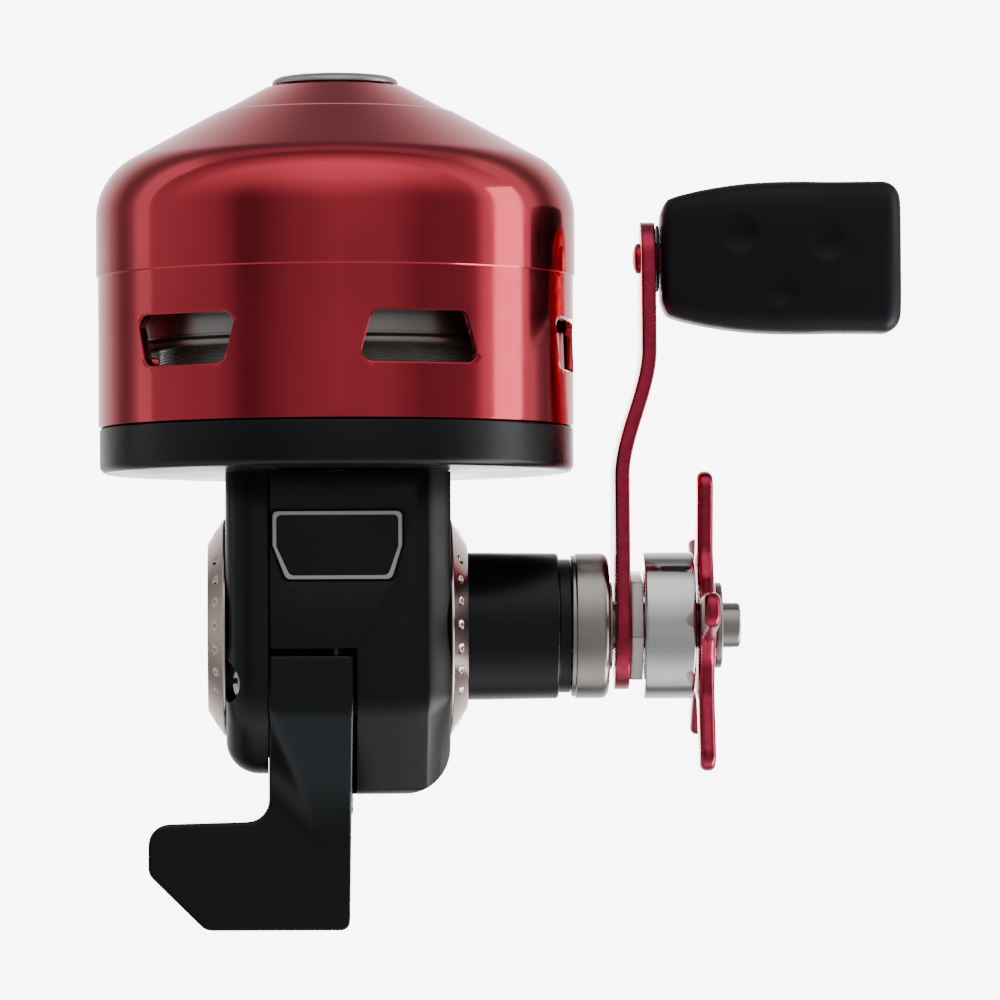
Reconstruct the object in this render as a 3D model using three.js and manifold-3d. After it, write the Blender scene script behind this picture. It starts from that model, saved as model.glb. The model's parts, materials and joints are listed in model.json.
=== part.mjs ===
// Spincast fishing reel: a closed-face reel with a bell-shaped cover, a thumb lever and a star drag.
// Millimetres. +Z is up, away from the rod; +Y points to the nose, where the line leaves;
// +X points to the crank handle. The origin is the centre of the rod foot's flat seat face.
import * as THREE from "three";
import { mergeVertices } from "three/addons/utils/BufferGeometryUtils.js";
import Module from "manifold-3d";

const wasm = await Module();
wasm.setup();

// ---------- driving dimensions ----------
const GAP = 0.3; // left between pieces that touch or run past each other
const AXIS_Z = 38.5; // reel axis above the seat face
const CRANK_Y = -6.5; // crank axis, parallel to X, behind the origin

const COVER_R = 33.05;
const COVER_WALL = 1.3;
const COVER_REAR_Y = 20.8;
const COVER_STEP = { drop: 0.25, from: 41.2, to: 41.8 }; // the rear skirt is a little smaller
const COVER_INNER_R = COVER_R - COVER_STEP.drop - COVER_WALL;
const SHOULDER_Y = 49.7;
const SHOULDER_R = 9.4; // rounding between the cover's cylinder and its cone
const CONE_SLOPE = THREE.MathUtils.degToRad(28.6);
const WINDOW = { rear: 28.4, front: 35.2, wide: 8.6, narrow: 6.7, corner: 1.4, first: -40, step: 60 };

const PLATE_R = 32.6;
const PLATE_REAR_Y = 14.6;
const PLATE_FRONT_Y = 20.4;
const HUB_R = 7.5; // tube in the middle of the front plate that carries the spool
const HUB_BORE_R = 5.6;
const HUB_END_Y = 39;

const BODY_HALF = 17.5; // body top and bottom, from the reel axis
const BODY_RIGHT_X = 15.3;
const BODY_LEFT_X = -15.3;
const SEAM_X = -9.4; // parting plane between housing and left cover
const BODY_FRONT_Y = 14.3;
const BODY_REAR_Y = -29.5;
const LEFT_REAR_Y = -26.6;
const BODY_WALL = 2;
const EDGE_R = 3.4; // rounding of the housing's right edges
const LEFT_EDGE_R = 4.5;
const NOTCH = { right: 2.5, front: -9.7, floor: -1 }; // opening for the lever

const SHAFT_R = 1.6; // main shaft
const BORE_R = SHAFT_R + GAP;
const MODULE = 0.64; // tooth size of the gear pair
const GEAR_TEETH = 36;
const PINION_TEETH = 10;
const GEAR_PITCH_R = (MODULE * GEAR_TEETH) / 2;
const PINION_PITCH_R = (MODULE * PINION_TEETH) / 2;
const ADDENDUM = 0.55;
const DEDENDUM = 0.8;
const TOOTH_WIDTH = 0.72; // at the pitch line, with backlash

const CUP_R = 27.5;
const CUP_WALL = 1.3;
const CUP_RIM_Y = 31;
const PIN_Y = 44; // pickup pin
const PIN_ANGLE = THREE.MathUtils.degToRad(-20); // from +Z towards +X
const LINE_R = 24.7;

const PIVOT = { y: -17.5, z: 12.5, r: 1.25 }; // lever pivot, z from the reel axis
const LEVER = { left: -9.1, right: 2.2, top: 17.4, padTop: 7.2, padBottom: 2.7 };

const CRANK_R = 3.1;
const CRANK_BORE_R = CRANK_R + GAP;
const NECK_R = 10.2;
const RING = { inner: 10.5, face: 11, outer: 14.9, near: 15.6, far: 17.8 };
const ARM = { base: 38, thick: 2, offset: 3.9, bendFrom: 20.1, bendTo: 38, bossR: 8.8, tipR: 5 };
const KNOB_THROW = 50.6;
const DRIVE_R = 3; // inner end of the crank shaft, inside the drag stack
// Stations of the plain rings along the crank axis, outwards from the reel axis.
const CRANK_STACK = {
  clip: [3, 3.6],
  innerWasher: [6.9, 7.7],
  pressurePlate: [8, 9],
  outerWasher: [9.3, 10],
  ballBearing: [13.4, 17.4],
  oneWayBearing: [18, 28],
  handleNut: [40.3, 41.7],
  endNut: [51.9, 52.8],
  knobWasher: [44.15, 44.45],
};
// Stations of the plain rings along the reel axis.
const REEL_STACK = {
  bushing: [-9.6, -7.6],
  rearBearing: [13, 17],
  frontBearing: [34, 38.6],
  spoolRetainer: [37.7, 39],
  cupNut: [57.8, 59.8],
};
const KNOB = { near: 44.75, far: 77.8, half: 6.3, edge: 2.6 };
const STAR = { near: 49.3, far: 51.5, tipR: 21.5, valleyR: 9.6, arms: 5, firstAngle: 13 };

const FOOT = { half: 28.5, width: 17, endWidth: 9, rise: 2, centreRise: 4.6, plate: 18.2 };

// ---------- solids ----------
const Y_AXIS = new THREE.Vector3(0, 1, 0);
const Z_AXIS = new THREE.Vector3(0, 0, 1);
const X_AXIS = new THREE.Vector3(1, 0, 0);
const ALONG_X = new THREE.Matrix4().makeBasis(Y_AXIS, Z_AXIS, X_AXIS); // shape (y, z), depth x

function solid(geometry) {
  const plain = geometry.index ? geometry.toNonIndexed() : geometry.clone();
  plain.deleteAttribute("normal");
  plain.deleteAttribute("uv");
  const merged = mergeVertices(plain, 1e-4);
  const index = merged.index.array;
  const kept = [];
  for (let i = 0; i < index.length; i += 3) {
    const [a, b, c] = index.slice(i, i + 3);
    if (a !== b && b !== c && c !== a) kept.push(a, b, c);
  }
  return new wasm.Manifold(
    new wasm.Mesh({
      numProp: 3,
      vertProperties: merged.attributes.position.array,
      triVerts: new Uint32Array(kept),
    }),
  );
}

function geometryOf(body) {
  const mesh = body.getMesh();
  const geometry = new THREE.BufferGeometry();
  geometry.setAttribute("position", new THREE.BufferAttribute(mesh.vertProperties, 3));
  geometry.setIndex(new THREE.BufferAttribute(mesh.triVerts, 1));
  return geometry;
}

function cut(base, ...tools) {
  return geometryOf(tools.reduce((body, tool) => body.subtract(solid(tool)), solid(base)));
}

function join(base, ...extras) {
  return geometryOf(extras.reduce((body, extra) => body.add(solid(extra)), solid(base)));
}

function common(a, b) {
  return geometryOf(solid(a).intersect(solid(b)));
}

// A body of revolution about Y. Points are [radius, y]; a profile off the axis closes on itself.
function turned(points, segments = 24) {
  const area = points.reduce((sum, [r, y], i) => {
    const [nextR, nextY] = points[(i + 1) % points.length];
    return sum + r * nextY - nextR * y;
  }, 0);
  const ordered = (area < 0 ? [...points].reverse() : points).map(([r, y]) => new THREE.Vector2(r, y));
  const onAxis = ordered[0].x === 0 && ordered.at(-1).x === 0;
  if (!onAxis) ordered.push(ordered[0].clone());
  return new THREE.LatheGeometry(ordered, segments);
}

// The same about X: points are [radius, x].
const turnedX = (points, segments) => turned(points, segments).rotateZ(-Math.PI / 2);

// A plain ring or washer, from one station to another along its axis.
const ringProfile = (inner, outer, from, to) => [
  [inner, from],
  [outer, from],
  [outer, to],
  [inner, to],
];

// A round cutter along one axis, through [x, y, z], between two stations on that axis.
function drill(axis, radius, [x, y, z], from, to, segments = 12) {
  const pin = turned([[0, from], [radius, from], [radius, to], [0, to]], segments);
  if (axis === "x") return pin.rotateZ(-Math.PI / 2).translate(0, y, z);
  if (axis === "z") return pin.rotateX(Math.PI / 2).translate(x, y, 0);
  return pin.translate(x, 0, z);
}

function box(x, y, z) {
  const geometry = new THREE.BoxGeometry(x[1] - x[0], y[1] - y[0], z[1] - z[0]);
  return geometry.translate((x[0] + x[1]) / 2, (y[0] + y[1]) / 2, (z[0] + z[1]) / 2);
}

// A closed outline; a corner given as [u, v, radius] is rounded.
function outline(points) {
  const shape = new THREE.Shape();
  const at = (i) => new THREE.Vector2(...points[(i + points.length) % points.length].slice(0, 2));
  points.forEach(([u, v, radius = 0], i) => {
    const corner = new THREE.Vector2(u, v);
    const before = at(i - 1).sub(corner).setLength(radius).add(corner);
    const after = at(i + 1).sub(corner).setLength(radius).add(corner);
    if (i === 0) shape.moveTo(before.x, before.y);
    else shape.lineTo(before.x, before.y);
    if (radius > 0) shape.quadraticCurveTo(u, v, after.x, after.y);
  });
  shape.closePath();
  return shape;
}

function extruded(shape, from, to, options = {}) {
  const { bevel = 0, steps = 3, curveSegments = 4 } = options;
  const geometry = new THREE.ExtrudeGeometry(shape, {
    depth: to - from - 2 * bevel,
    bevelEnabled: bevel > 0,
    bevelThickness: bevel,
    bevelSize: bevel,
    bevelOffset: -bevel,
    bevelSegments: steps,
    curveSegments,
  });
  return geometry.translate(0, 0, from + bevel);
}

const extrudedX = (shape, from, to, options) => extruded(shape, from, to, options).applyMatrix4(ALONG_X);

// A coil spring about Y, squared off by its own round section.
function coil(radius, wire, from, to, turns) {
  const helix = new THREE.Curve();
  helix.getPoint = (t, target = new THREE.Vector3()) => {
    const angle = 2 * Math.PI * turns * t;
    return target.set(radius * Math.cos(angle), from + (to - from) * t, radius * Math.sin(angle));
  };
  const section = new THREE.Shape().absarc(0, 0, wire, 0, 2 * Math.PI);
  return new THREE.ExtrudeGeometry(section, {
    steps: Math.round(turns * 8),
    curveSegments: 3,
    extrudePath: helix,
    bevelEnabled: false,
  });
}

// ---------- scene graph ----------
const metal = (color, roughness) => new THREE.MeshStandardMaterial({ color, roughness, metalness: 1 });
const plastic = (color, roughness) => new THREE.MeshStandardMaterial({ color, roughness, metalness: 0 });
const redAnodised = () => metal(0xa0202e, 0.28);
const crimson = () => metal(0xb01c3c, 0.35);
const black = () => plastic(0x1b1c1f, 0.42);
const steel = () => metal(0xb4b0a8, 0.3);
const brass = () => metal(0xb8964e, 0.35);
const rubber = () => plastic(0x141517, 0.8);
const rose = () => metal(0xcbb3a8, 0.25);
const aluminium = () => metal(0x9b9b9a, 0.35);
const fibre = () => plastic(0x4a4038, 0.8);

const reel = new THREE.Group();
const reelAxis = new THREE.Group(); // origin on the reel axis, above the seat's centre
const crankAxis = new THREE.Group(); // origin where the crank axis meets the reel axis
const leverAxis = new THREE.Group();
const knobAxis = new THREE.Group();
reelAxis.position.set(0, 0, AXIS_Z);
crankAxis.position.set(0, CRANK_Y, 0);
leverAxis.position.set(0, PIVOT.y, PIVOT.z);
knobAxis.position.set(0, KNOB_THROW, 0);
reel.add(reelAxis);
reelAxis.add(crankAxis, leverAxis);
crankAxis.add(knobAxis);

function place(group, name, geometry, material) {
  geometry.computeVertexNormals();
  const mesh = new THREE.Mesh(geometry, material);
  mesh.name = name;
  group.add(mesh);
}

// ---------- screw positions, from the reel axis ----------
const plateScrews = [90, -30, -120].map((degrees, i) => {
  const angle = THREE.MathUtils.degToRad(degrees);
  return { name: ["top", "right", "left"][i], x: 12 * Math.cos(angle), z: 12 * Math.sin(angle) };
});
const sideScrews = [
  { name: "top", y: -14, z: 13.6 },
  { name: "rear", y: -18.5, z: -11.5 },
  { name: "front", y: 9.5, z: -12.5 },
];
const footScrews = [
  { name: "front", y: 11 },
  { name: "rear", y: -15.5 },
];
const SCREW = {
  headR: 2.15,
  shankR: 0.9,
  headX: -14.4,
  seatX: -13.6,
  tipX: -9.9,
  pocketR: 2.9,
  pocketX: -13.3,
  tongueX: -12.2,
};

// ---------- cover, nose ring and front plate ----------
const CONE = {
  centreR: COVER_R - SHOULDER_R,
  at: (radius, offset) => {
    const r = SHOULDER_R - offset;
    const startR = CONE.centreR + r * Math.sin(CONE_SLOPE);
    return SHOULDER_Y + r * Math.cos(CONE_SLOPE) + (startR - radius) * Math.tan(CONE_SLOPE);
  },
};
const NOSE = { opening: 7, seatR: 9.3, seatY: 67.8, stepOuter: 17.6, stepInner: 16.4, stepDrop: 0.5 };

function shoulderArc(radius, steps) {
  const last = Math.PI / 2 - CONE_SLOPE;
  return Array.from({ length: steps + 1 }, (_, i) => {
    const angle = (last * i) / steps;
    return [CONE.centreR + radius * Math.cos(angle), SHOULDER_Y + radius * Math.sin(angle)];
  });
}

function windowCutter(index) {
  const { rear, front, wide, narrow, corner, first, step } = WINDOW;
  const [frontHalf, rearHalf] = index % 2 ? [narrow, wide] : [wide, narrow];
  const shape = outline([
    [-rearHalf, rear, corner],
    [rearHalf, rear, corner],
    [frontHalf, front, corner],
    [-frontHalf, front, corner],
  ]);
  const angle = THREE.MathUtils.degToRad(first + step * index);
  return extruded(shape, COVER_R - 6, COVER_R + 3, { curveSegments: 2 }).rotateY(angle);
}

function frontCover() {
  const shell = turned(
    [
      [COVER_INNER_R, COVER_REAR_Y],
      [COVER_R - COVER_STEP.drop, COVER_REAR_Y],
      [COVER_R - COVER_STEP.drop, COVER_STEP.from],
      [COVER_R, COVER_STEP.to],
      ...shoulderArc(SHOULDER_R, 4),
      [NOSE.stepOuter, CONE.at(NOSE.stepOuter, 0)],
      [NOSE.stepInner, CONE.at(NOSE.stepInner, 0) - NOSE.stepDrop],
      [NOSE.seatR, NOSE.seatY],
      [NOSE.opening, NOSE.seatY],
      [NOSE.opening, NOSE.seatY - 1.6],
      ...shoulderArc(SHOULDER_R - COVER_WALL, 3).reverse(),
      [COVER_INNER_R, SHOULDER_Y - 2],
    ],
    40,
  );
  return cut(shell, ...[0, 1, 2, 3, 4, 5].map(windowCutter));
}

function noseRing() {
  const flange = NOSE.seatY + GAP;
  const profile = [
    [4.2, 64.8],
    [NOSE.opening - GAP, 64.8],
    [NOSE.opening - GAP, flange],
    [8.7, flange],
    [8.7, flange + 0.4],
    [8, flange + 1.1],
    [6.6, flange + 1.2],
    [4.4, flange + 0.9],
    [3.4, flange - 0.3],
    [3.2, flange - 2],
  ];
  return turned(profile, 20);
}

function frontPlate() {
  const spigot = COVER_INNER_R - GAP;
  const plate = turned(
    [
      [HUB_BORE_R, 12.8],
      [8, 12.8],
      [8, PLATE_REAR_Y],
      [PLATE_R - 0.8, PLATE_REAR_Y],
      [PLATE_R, PLATE_REAR_Y + 0.8],
      [PLATE_R, PLATE_FRONT_Y - 0.6],
      [PLATE_R - 0.6, PLATE_FRONT_Y],
      [spigot, PLATE_FRONT_Y],
      [spigot, 25.6],
      [spigot - 1.6, 25.6],
      [spigot - 1.6, 17.2],
      [HUB_R, 17.2],
      [HUB_R, HUB_END_Y],
      [HUB_BORE_R, HUB_END_Y],
    ],
    40,
  );
  return cut(plate, ...plateScrews.map(({ x, z }) => drill("y", 1.5, [x, 0, z], 10, 20)));
}

// ---------- body ----------
const housingSide = (inset, front) =>
  outline([
    [front, -BODY_HALF + inset],
    [BODY_REAR_Y + inset, -BODY_HALF + inset, 7],
    [BODY_REAR_Y + inset, 4.8 - inset / 2, 3],
    [-17.6 + inset / 2, BODY_HALF - inset, 2],
    [front, BODY_HALF - inset],
  ]);

const leftSideOutline = (inset, front) =>
  outline([
    [front, -BODY_HALF + inset],
    [LEFT_REAR_Y + inset, -BODY_HALF + inset, 6],
    [LEFT_REAR_Y + inset, 7.2 - inset / 2, 5.2],
    [-17.6 + inset / 2, BODY_HALF - inset, 5.2],
    [front, BODY_HALF - inset],
  ]);

const planForm = (side, rear, left, right, corner) =>
  extruded(
    outline(
      side > 0
        ? [[left, rear], [right, rear, corner], [right, 30], [left, 30]]
        : [[left, rear, corner], [right, rear], [right, 30], [left, 30]],
    ),
    -30,
    30,
  );

function mainHousing() {
  const left = SEAM_X + GAP / 2;
  const block = extrudedX(housingSide(0, 30), -30, BODY_RIGHT_X, { bevel: EDGE_R });
  const cropped = common(block, planForm(1, BODY_REAR_Y, left, BODY_RIGHT_X, 6.5));
  const shell = cut(
    common(cropped, box([-30, 30], [-40, BODY_FRONT_Y], [-30, 30])),
    common(
      extrudedX(housingSide(BODY_WALL, BODY_FRONT_Y - 3), -30, BODY_RIGHT_X - BODY_WALL),
      planForm(1, BODY_REAR_Y + BODY_WALL, -20, BODY_RIGHT_X - BODY_WALL, 6),
    ),
    box([-30, NOTCH.right], [-60, NOTCH.front], [NOTCH.floor, 30]),
  );
  const web = box([left, PINION_PITCH_R - 1.1], [-9.6, -7.6], [-BODY_HALF + 1, 6.5]);
  const pivotBoss = join(
    drill("x", 2.5, [0, PIVOT.y, PIVOT.z], NOTCH.right + 0.1, 7),
    box([NOTCH.right + 0.1, 7], [PIVOT.y - 1.8, PIVOT.y + 2.4], [PIVOT.z, BODY_HALF - 1]),
  );
  // Each side screw bites into a tongue that reaches from an anchor in the housing into the left cover.
  const lugHalf = 2.2;
  const lowScrews = sideScrews.filter(({ z }) => z < 0);
  const across = ({ y }) => [y - lugHalf, y + lugHalf];
  const anchors = [
    box([left, -7.2], [-9.5, -5], [11.6, BODY_HALF - 1.5]),
    ...lowScrews.map((at) => box([left, -6], across(at), [-BODY_HALF + 0.5, at.z + lugHalf])),
  ];
  const reach = [SCREW.tongueX, left + 0.1];
  const tongues = [
    box(reach, [-16.2, -5], [11.6, 15.2]),
    ...lowScrews.map((at) => box(reach, across(at), [-20, at.z + lugHalf])),
  ];
  const room = extrudedX(leftSideOutline(BODY_WALL + GAP, BODY_FRONT_Y - 2 - GAP), ...reach);
  return cut(
    join(shell, web, pivotBoss, ...anchors, ...tongues.map((tongue) => common(tongue, room))),
    drill("x", NECK_R - 1.4, [0, CRANK_Y, 0], 12, 17, 28),
    drill("y", 8.4, [0, 0, 0], 10, 16, 28),
    drill("y", 3, [0, 0, 0], -11, -7, 20),
    drill("x", PIVOT.r + GAP, [0, PIVOT.y, PIVOT.z], -14, 5.6),
    drill("x", 2.4, [0, PIVOT.y, PIVOT.z], -14, SEAM_X + GAP),
    ...plateScrews.map(({ x, z }) => drill("y", 1.5, [x, 0, z], 10, 16)),
    ...sideScrews.map(({ y, z }) => drill("x", SCREW.shankR + GAP, [0, y, z], -14, -7.6)),
    ...footScrews.map(({ y }) => drill("z", 1.6, [0, y, 0], -20, -12, 12)),
    nameplateBlock(GAP, BODY_HALF - 0.5, 30),
  );
}

function leftSideCover() {
  const right = SEAM_X - GAP / 2;
  const block = extrudedX(leftSideOutline(0, 30), BODY_LEFT_X, 30, { bevel: LEFT_EDGE_R });
  const cropped = common(block, planForm(-1, LEFT_REAR_Y, BODY_LEFT_X, right, 5.5));
  const shell = cut(
    common(cropped, box([-30, 30], [-40, BODY_FRONT_Y], [-30, 30])),
    common(
      extrudedX(leftSideOutline(BODY_WALL, BODY_FRONT_Y - 2), BODY_LEFT_X + 2.8, 30),
      planForm(-1, LEFT_REAR_Y + BODY_WALL, BODY_LEFT_X + 2.8, 30, 4),
    ),
  );
  const pivotBoss = drill("x", 2.1, [0, PIVOT.y, PIVOT.z], BODY_LEFT_X + 2.5, right);
  return cut(
    join(shell, pivotBoss),
    drill("x", PIVOT.r + GAP, [0, PIVOT.y, PIVOT.z], BODY_LEFT_X + 2.8, 0),
    ...sideScrews.map(({ y, z }) => drill("x", SCREW.pocketR, [0, y, z], -30, SCREW.pocketX)),
    ...sideScrews.map(({ y, z }) => drill("x", SCREW.shankR + GAP, [0, y, z], -30, -11)),
  );
}

const NAMEPLATE = [
  [-8.9, 8.6],
  [-8.9, 4.3],
  [-7.1, -0.4],
  [7.3, -0.4],
  [8.6, 4.3],
  [8.6, 8.6],
];

function nameplateBlock(grow, from, to) {
  const middleY = 4.1;
  const scale = 1 + grow / 8;
  return extruded(
    outline(NAMEPLATE.map(([x, y]) => [x * scale, middleY + (y - middleY) * (1 + grow / 4)])),
    from,
    to,
  );
}

function screw(headR, shankR, headFrom, headTo, tip) {
  const away = Math.sign(headFrom - headTo);
  const profile = [
    [0, headFrom],
    [headR * 0.7, headFrom],
    [headR, headFrom - away * 0.35],
    [headR, headTo],
    [shankR, headTo],
    [shankR, tip],
    [0, tip],
  ];
  const slot = [headFrom + away * 0.5, headFrom - away * 0.5].sort((a, b) => a - b);
  return cut(turned(profile, 10), box([-headR * 1.2, headR * 1.2], slot, [-0.35, 0.35]));
}

// ---------- trim rings and neck ----------
const trimRing = () =>
  turnedX(
    [
      [RING.inner, RING.near],
      [RING.outer, RING.near],
      [RING.outer, RING.near + 0.5],
      [RING.face + 0.2, RING.far],
      [RING.inner, RING.far],
    ],
    32,
  );

const neck = () =>
  turnedX(
    [
      [5.2, 11.6],
      [8.4, 11.6],
      [8.4, RING.near],
      [NECK_R, RING.near],
      [NECK_R, 30.1],
      [9.2, 30.4],
      [9.2, 31.7],
      [5, 31.7],
      [5, 28.5],
      [6.8, 28.5],
      [6.8, 13],
      [5.2, 13],
    ],
    24,
  );

// ---------- rod foot ----------
function rodFoot() {
  const { half, width, endWidth, rise, centreRise, plate } = FOOT;
  const side = outline([
    [-half, 0],
    [half, 0],
    [half, rise - 0.4],
    [half - 10, rise],
    [9, centreRise],
    [-13, centreRise],
    [-half + 10, rise],
    [-half, rise - 0.4],
  ]);
  const plan = outline([
    [-endWidth / 2, -half, 3],
    [endWidth / 2, -half, 3],
    [width / 2, -8, 8],
    [width / 2, 8, 8],
    [endWidth / 2, half, 3],
    [-endWidth / 2, half, 3],
    [-width / 2, 8, 8],
    [-width / 2, -8, 8],
  ]);
  const blade = common(extrudedX(side, -20, 20), extruded(plan, -1, 20));
  const stem = extruded(outline([[-4, -12, 3], [4, -12, 3], [4, 8, 3], [-4, 8, 3]]), 1, plate + 1);
  const top = extruded(
    outline([[-7, -19, 3], [7, -19, 3], [7, 14, 3], [-7, 14, 3]]),
    plate,
    AXIS_Z - BODY_HALF - GAP,
  );
  return cut(
    join(blade, stem, top),
    ...footScrews.map(({ y }) => drill("z", 1.6, [0, y, 0], FOOT.plate - 1, AXIS_Z, 12)),
  );
}

// ---------- spool, line, cup and main shaft ----------
const spool = () =>
  turned(
    [
      [HUB_R + GAP, 17.6],
      [9.4, 17.6],
      [9.4, 21.3],
      [26, 21.3],
      [26, 22.7],
      [15, 22.7],
      [15, 36],
      [24.9, 36],
      [24.9, 37.4],
      [HUB_R + GAP, 37.4],
    ],
    28,
  );

const lineWinding = () =>
  turned(ringProfile(15 + GAP, LINE_R, 22.7 + GAP, 36 - GAP), 28);

function windingCup() {
  const dome = [
    [CUP_R, 47],
    [26.4, 50.8],
    [23.5, 53.6],
    [17, 56],
    [9, 57.2],
    [BORE_R, 57.4],
  ];
  const inside = [
    [BORE_R, 50],
    [6, 50],
    [6, 55.6],
    [9, 55.6],
    [16.6, 54.5],
    [22.7, 52.4],
    [25.2, 50.2],
    [CUP_R - CUP_WALL, 46.8],
    [CUP_R - CUP_WALL, CUP_RIM_Y],
  ];
  const bead = [
    [CUP_R + 0.6, CUP_RIM_Y],
    [CUP_R + 0.6, 32.3],
    [CUP_R, 32.5],
  ];
  const shell = turned([...bead, ...dome, ...inside], 32);
  const guide = box([-2.2, 2.2], [PIN_Y - 2.2, PIN_Y + 2.2], [20.5, CUP_R - 0.6]).rotateY(PIN_ANGLE);
  const bore = drill("z", 0.9 + GAP, [0, 0, 0], 18, 32, 10).translate(0, PIN_Y, 0).rotateY(PIN_ANGLE);
  return cut(join(shell, guide), bore);
}

const pickupPin = () =>
  turned([[0, 19], [0.9, 19], [0.9, 29.1], [0.6, 29.5], [0, 29.5]], 12)
    .rotateX(Math.PI / 2)
    .translate(0, PIN_Y, 0)
    .rotateY(PIN_ANGLE);

const mainShaft = () =>
  turned([[0, -12.5], [SHAFT_R, -12.5], [SHAFT_R, 60.2], [SHAFT_R - 0.4, 60.6], [0, 60.6]], 20);

// ---------- gear pair ----------
function tooth(halfRoot, halfPitch, halfTip, root, tip) {
  return outline([
    [-halfRoot, root - 0.3],
    [halfRoot, root - 0.3],
    [halfRoot, root],
    [halfPitch, 0],
    [halfTip, tip],
    [-halfTip, tip],
    [-halfPitch, 0],
    [-halfRoot, root],
  ]);
}

const TOOTH_HALF = TOOTH_WIDTH / 2;
const TOOTH_SHAPE = tooth(TOOTH_HALF + 0.27, TOOTH_HALF, TOOTH_HALF - 0.18, -DEDENDUM, ADDENDUM);

// The pinion's teeth run along Y; one tooth points along +X, into a space of the gear.
function pinionGear() {
  const [from, to] = [0.5, 7.2];
  const blank = turned(ringProfile(BORE_R, PINION_PITCH_R - DEDENDUM, from, to), 20);
  const teeth = Array.from({ length: PINION_TEETH }, (_, i) =>
    extruded(TOOTH_SHAPE, from, to)
      .rotateX(-Math.PI / 2)
      .translate(0, 0, -PINION_PITCH_R)
      .rotateY((2 * Math.PI * (i + 0.25 * PINION_TEETH)) / PINION_TEETH),
  );
  return join(blank, ...teeth);
}

// Face gear on the crank: its teeth stand towards the reel axis, a space lies at +Y.
function driveGear() {
  const face = PINION_PITCH_R + DEDENDUM;
  const [inner, outer] = [10.2, 12.9];
  const disc = washerX(DRIVE_R + GAP, outer, [face, face + 2.6]);
  const [across, towardsAxis, outwards] = [Z_AXIS, X_AXIS.clone().negate(), Y_AXIS.clone().negate()];
  const teeth = Array.from({ length: GEAR_TEETH }, (_, i) =>
    extruded(TOOTH_SHAPE, inner, outer - 0.15)
      .applyMatrix4(new THREE.Matrix4().makeBasis(across, towardsAxis, outwards))
      .translate(PINION_PITCH_R, 0, 0)
      .rotateX((2 * Math.PI * (i + 0.5)) / GEAR_TEETH),
  );
  return join(disc, ...teeth);
}

// ---------- lever ----------
// Drawn about the pivot: the group's origin is on the pivot axis.
function thumbLever() {
  const { left, right, top, padTop, padBottom } = LEVER;
  const up = (z) => z - PIVOT.z;
  const back = (y) => y - PIVOT.y;
  const bar = extrudedX(
    outline([
      [back(-10.6), up(top)],
      [back(-18), up(top)],
      [back(-33.8), up(padTop)],
      [back(-33.8), up(padBottom)],
      [back(-31.5), up(padBottom)],
      [back(-21.4), up(9.6)],
      [back(-17.5), up(9.4)],
      [back(-14.8), up(11)],
      [back(-16.4), up(15.8)],
      [back(-10.6), up(15.8)],
    ]),
    left,
    right,
  );
  const pad = extruded(
    outline([
      [right - 0.1, back(-29.8)],
      [left, back(-29.8)],
      [left, back(-32.4), 2.4],
      [-26, back(-33.4), 3],
      [-26, back(-40.4), 1.6],
      [-18.1, back(-48), 1.6],
      [1.5, back(-48.1), 1.2],
    ]),
    up(padBottom),
    up(padTop),
  );
  const arm = box([-2.6, 1.9], [back(-19.2), back(-16.2)], [up(-2.4), up(10.4)]);
  const skirtShape = new THREE.Shape();
  const [from, to] = [207, 244].map(THREE.MathUtils.degToRad);
  skirtShape.absarc(0, 0, 16.5, from, to, false);
  skirtShape.absarc(0, 0, 15.7, to, from, true);
  const skirt = extrudedX(skirtShape, left, right);
  const springPocket = drill("x", 3.9, [0, 0, 0], -20, -5.6);
  return cut(join(bar, pad, arm, skirt), springPocket, drill("x", PIVOT.r + GAP, [0, 0, 0], -20, 20));
}

// ---------- crank, handle, star and knob ----------
function crankShaft() {
  const profile = [
    [0, 3],
    [DRIVE_R, 3],
    [DRIVE_R, 10.3],
    [9, 10.3],
    [9, 11.2],
    [CRANK_R, 11.2],
    [CRANK_R, 55],
    [CRANK_R - 0.4, 55.4],
    [0, 55.4],
  ];
  return cut(turnedX(profile, 20), box([54.2, 56], [-5, 5], [-0.5, 0.5]));
}

function handleArm() {
  const { base, thick, offset, bendFrom, bendTo, bossR, tipR } = ARM;
  const rise = (y) => offset * THREE.MathUtils.smoothstep(y, bendFrom, bendTo);
  const stations = Array.from({ length: 9 }, (_, i) => bendFrom + ((bendTo - bendFrom) * i) / 8);
  const ends = [-20, ...stations, 60];
  const side = outline([
    ...ends.map((y) => [y, base + rise(y)]),
    ...ends.reverse().map((y) => [y, base + thick + rise(y)]),
  ]);
  const swept = extruded(side, -15, 15).applyMatrix4(
    new THREE.Matrix4().makeBasis(Y_AXIS, X_AXIS, Z_AXIS.clone().negate()),
  );
  const face = new THREE.Shape();
  const lean = Math.asin((bossR - tipR) / KNOB_THROW);
  face.absarc(0, 0, bossR, Math.PI / 2 - lean, Math.PI * 1.5 + lean, false);
  face.absarc(KNOB_THROW, 0, tipR, -Math.PI / 2 + lean, Math.PI / 2 - lean, false);
  const plan = extrudedX(face, 30, 60, { curveSegments: 9 });
  return cut(
    common(swept, plan),
    drill("x", CRANK_BORE_R, [0, 0, 0], 30, 60, 20),
    drill("x", 1.6, [0, KNOB_THROW, 0], 30, 60, 14),
  );
}

function hexNut() {
  const hex = new THREE.Shape();
  for (let i = 0; i < 6; i += 1) {
    const angle = THREE.MathUtils.degToRad(60 * i - 13);
    const point = [7.9 * Math.sin(angle), 7.9 * Math.cos(angle)];
    if (i === 0) hex.moveTo(...point);
    else hex.lineTo(...point);
  }
  return cut(extrudedX(hex, ...CRANK_STACK.handleNut), drill("x", CRANK_BORE_R, [0, 0, 0], 30, 60, 20));
}

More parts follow.
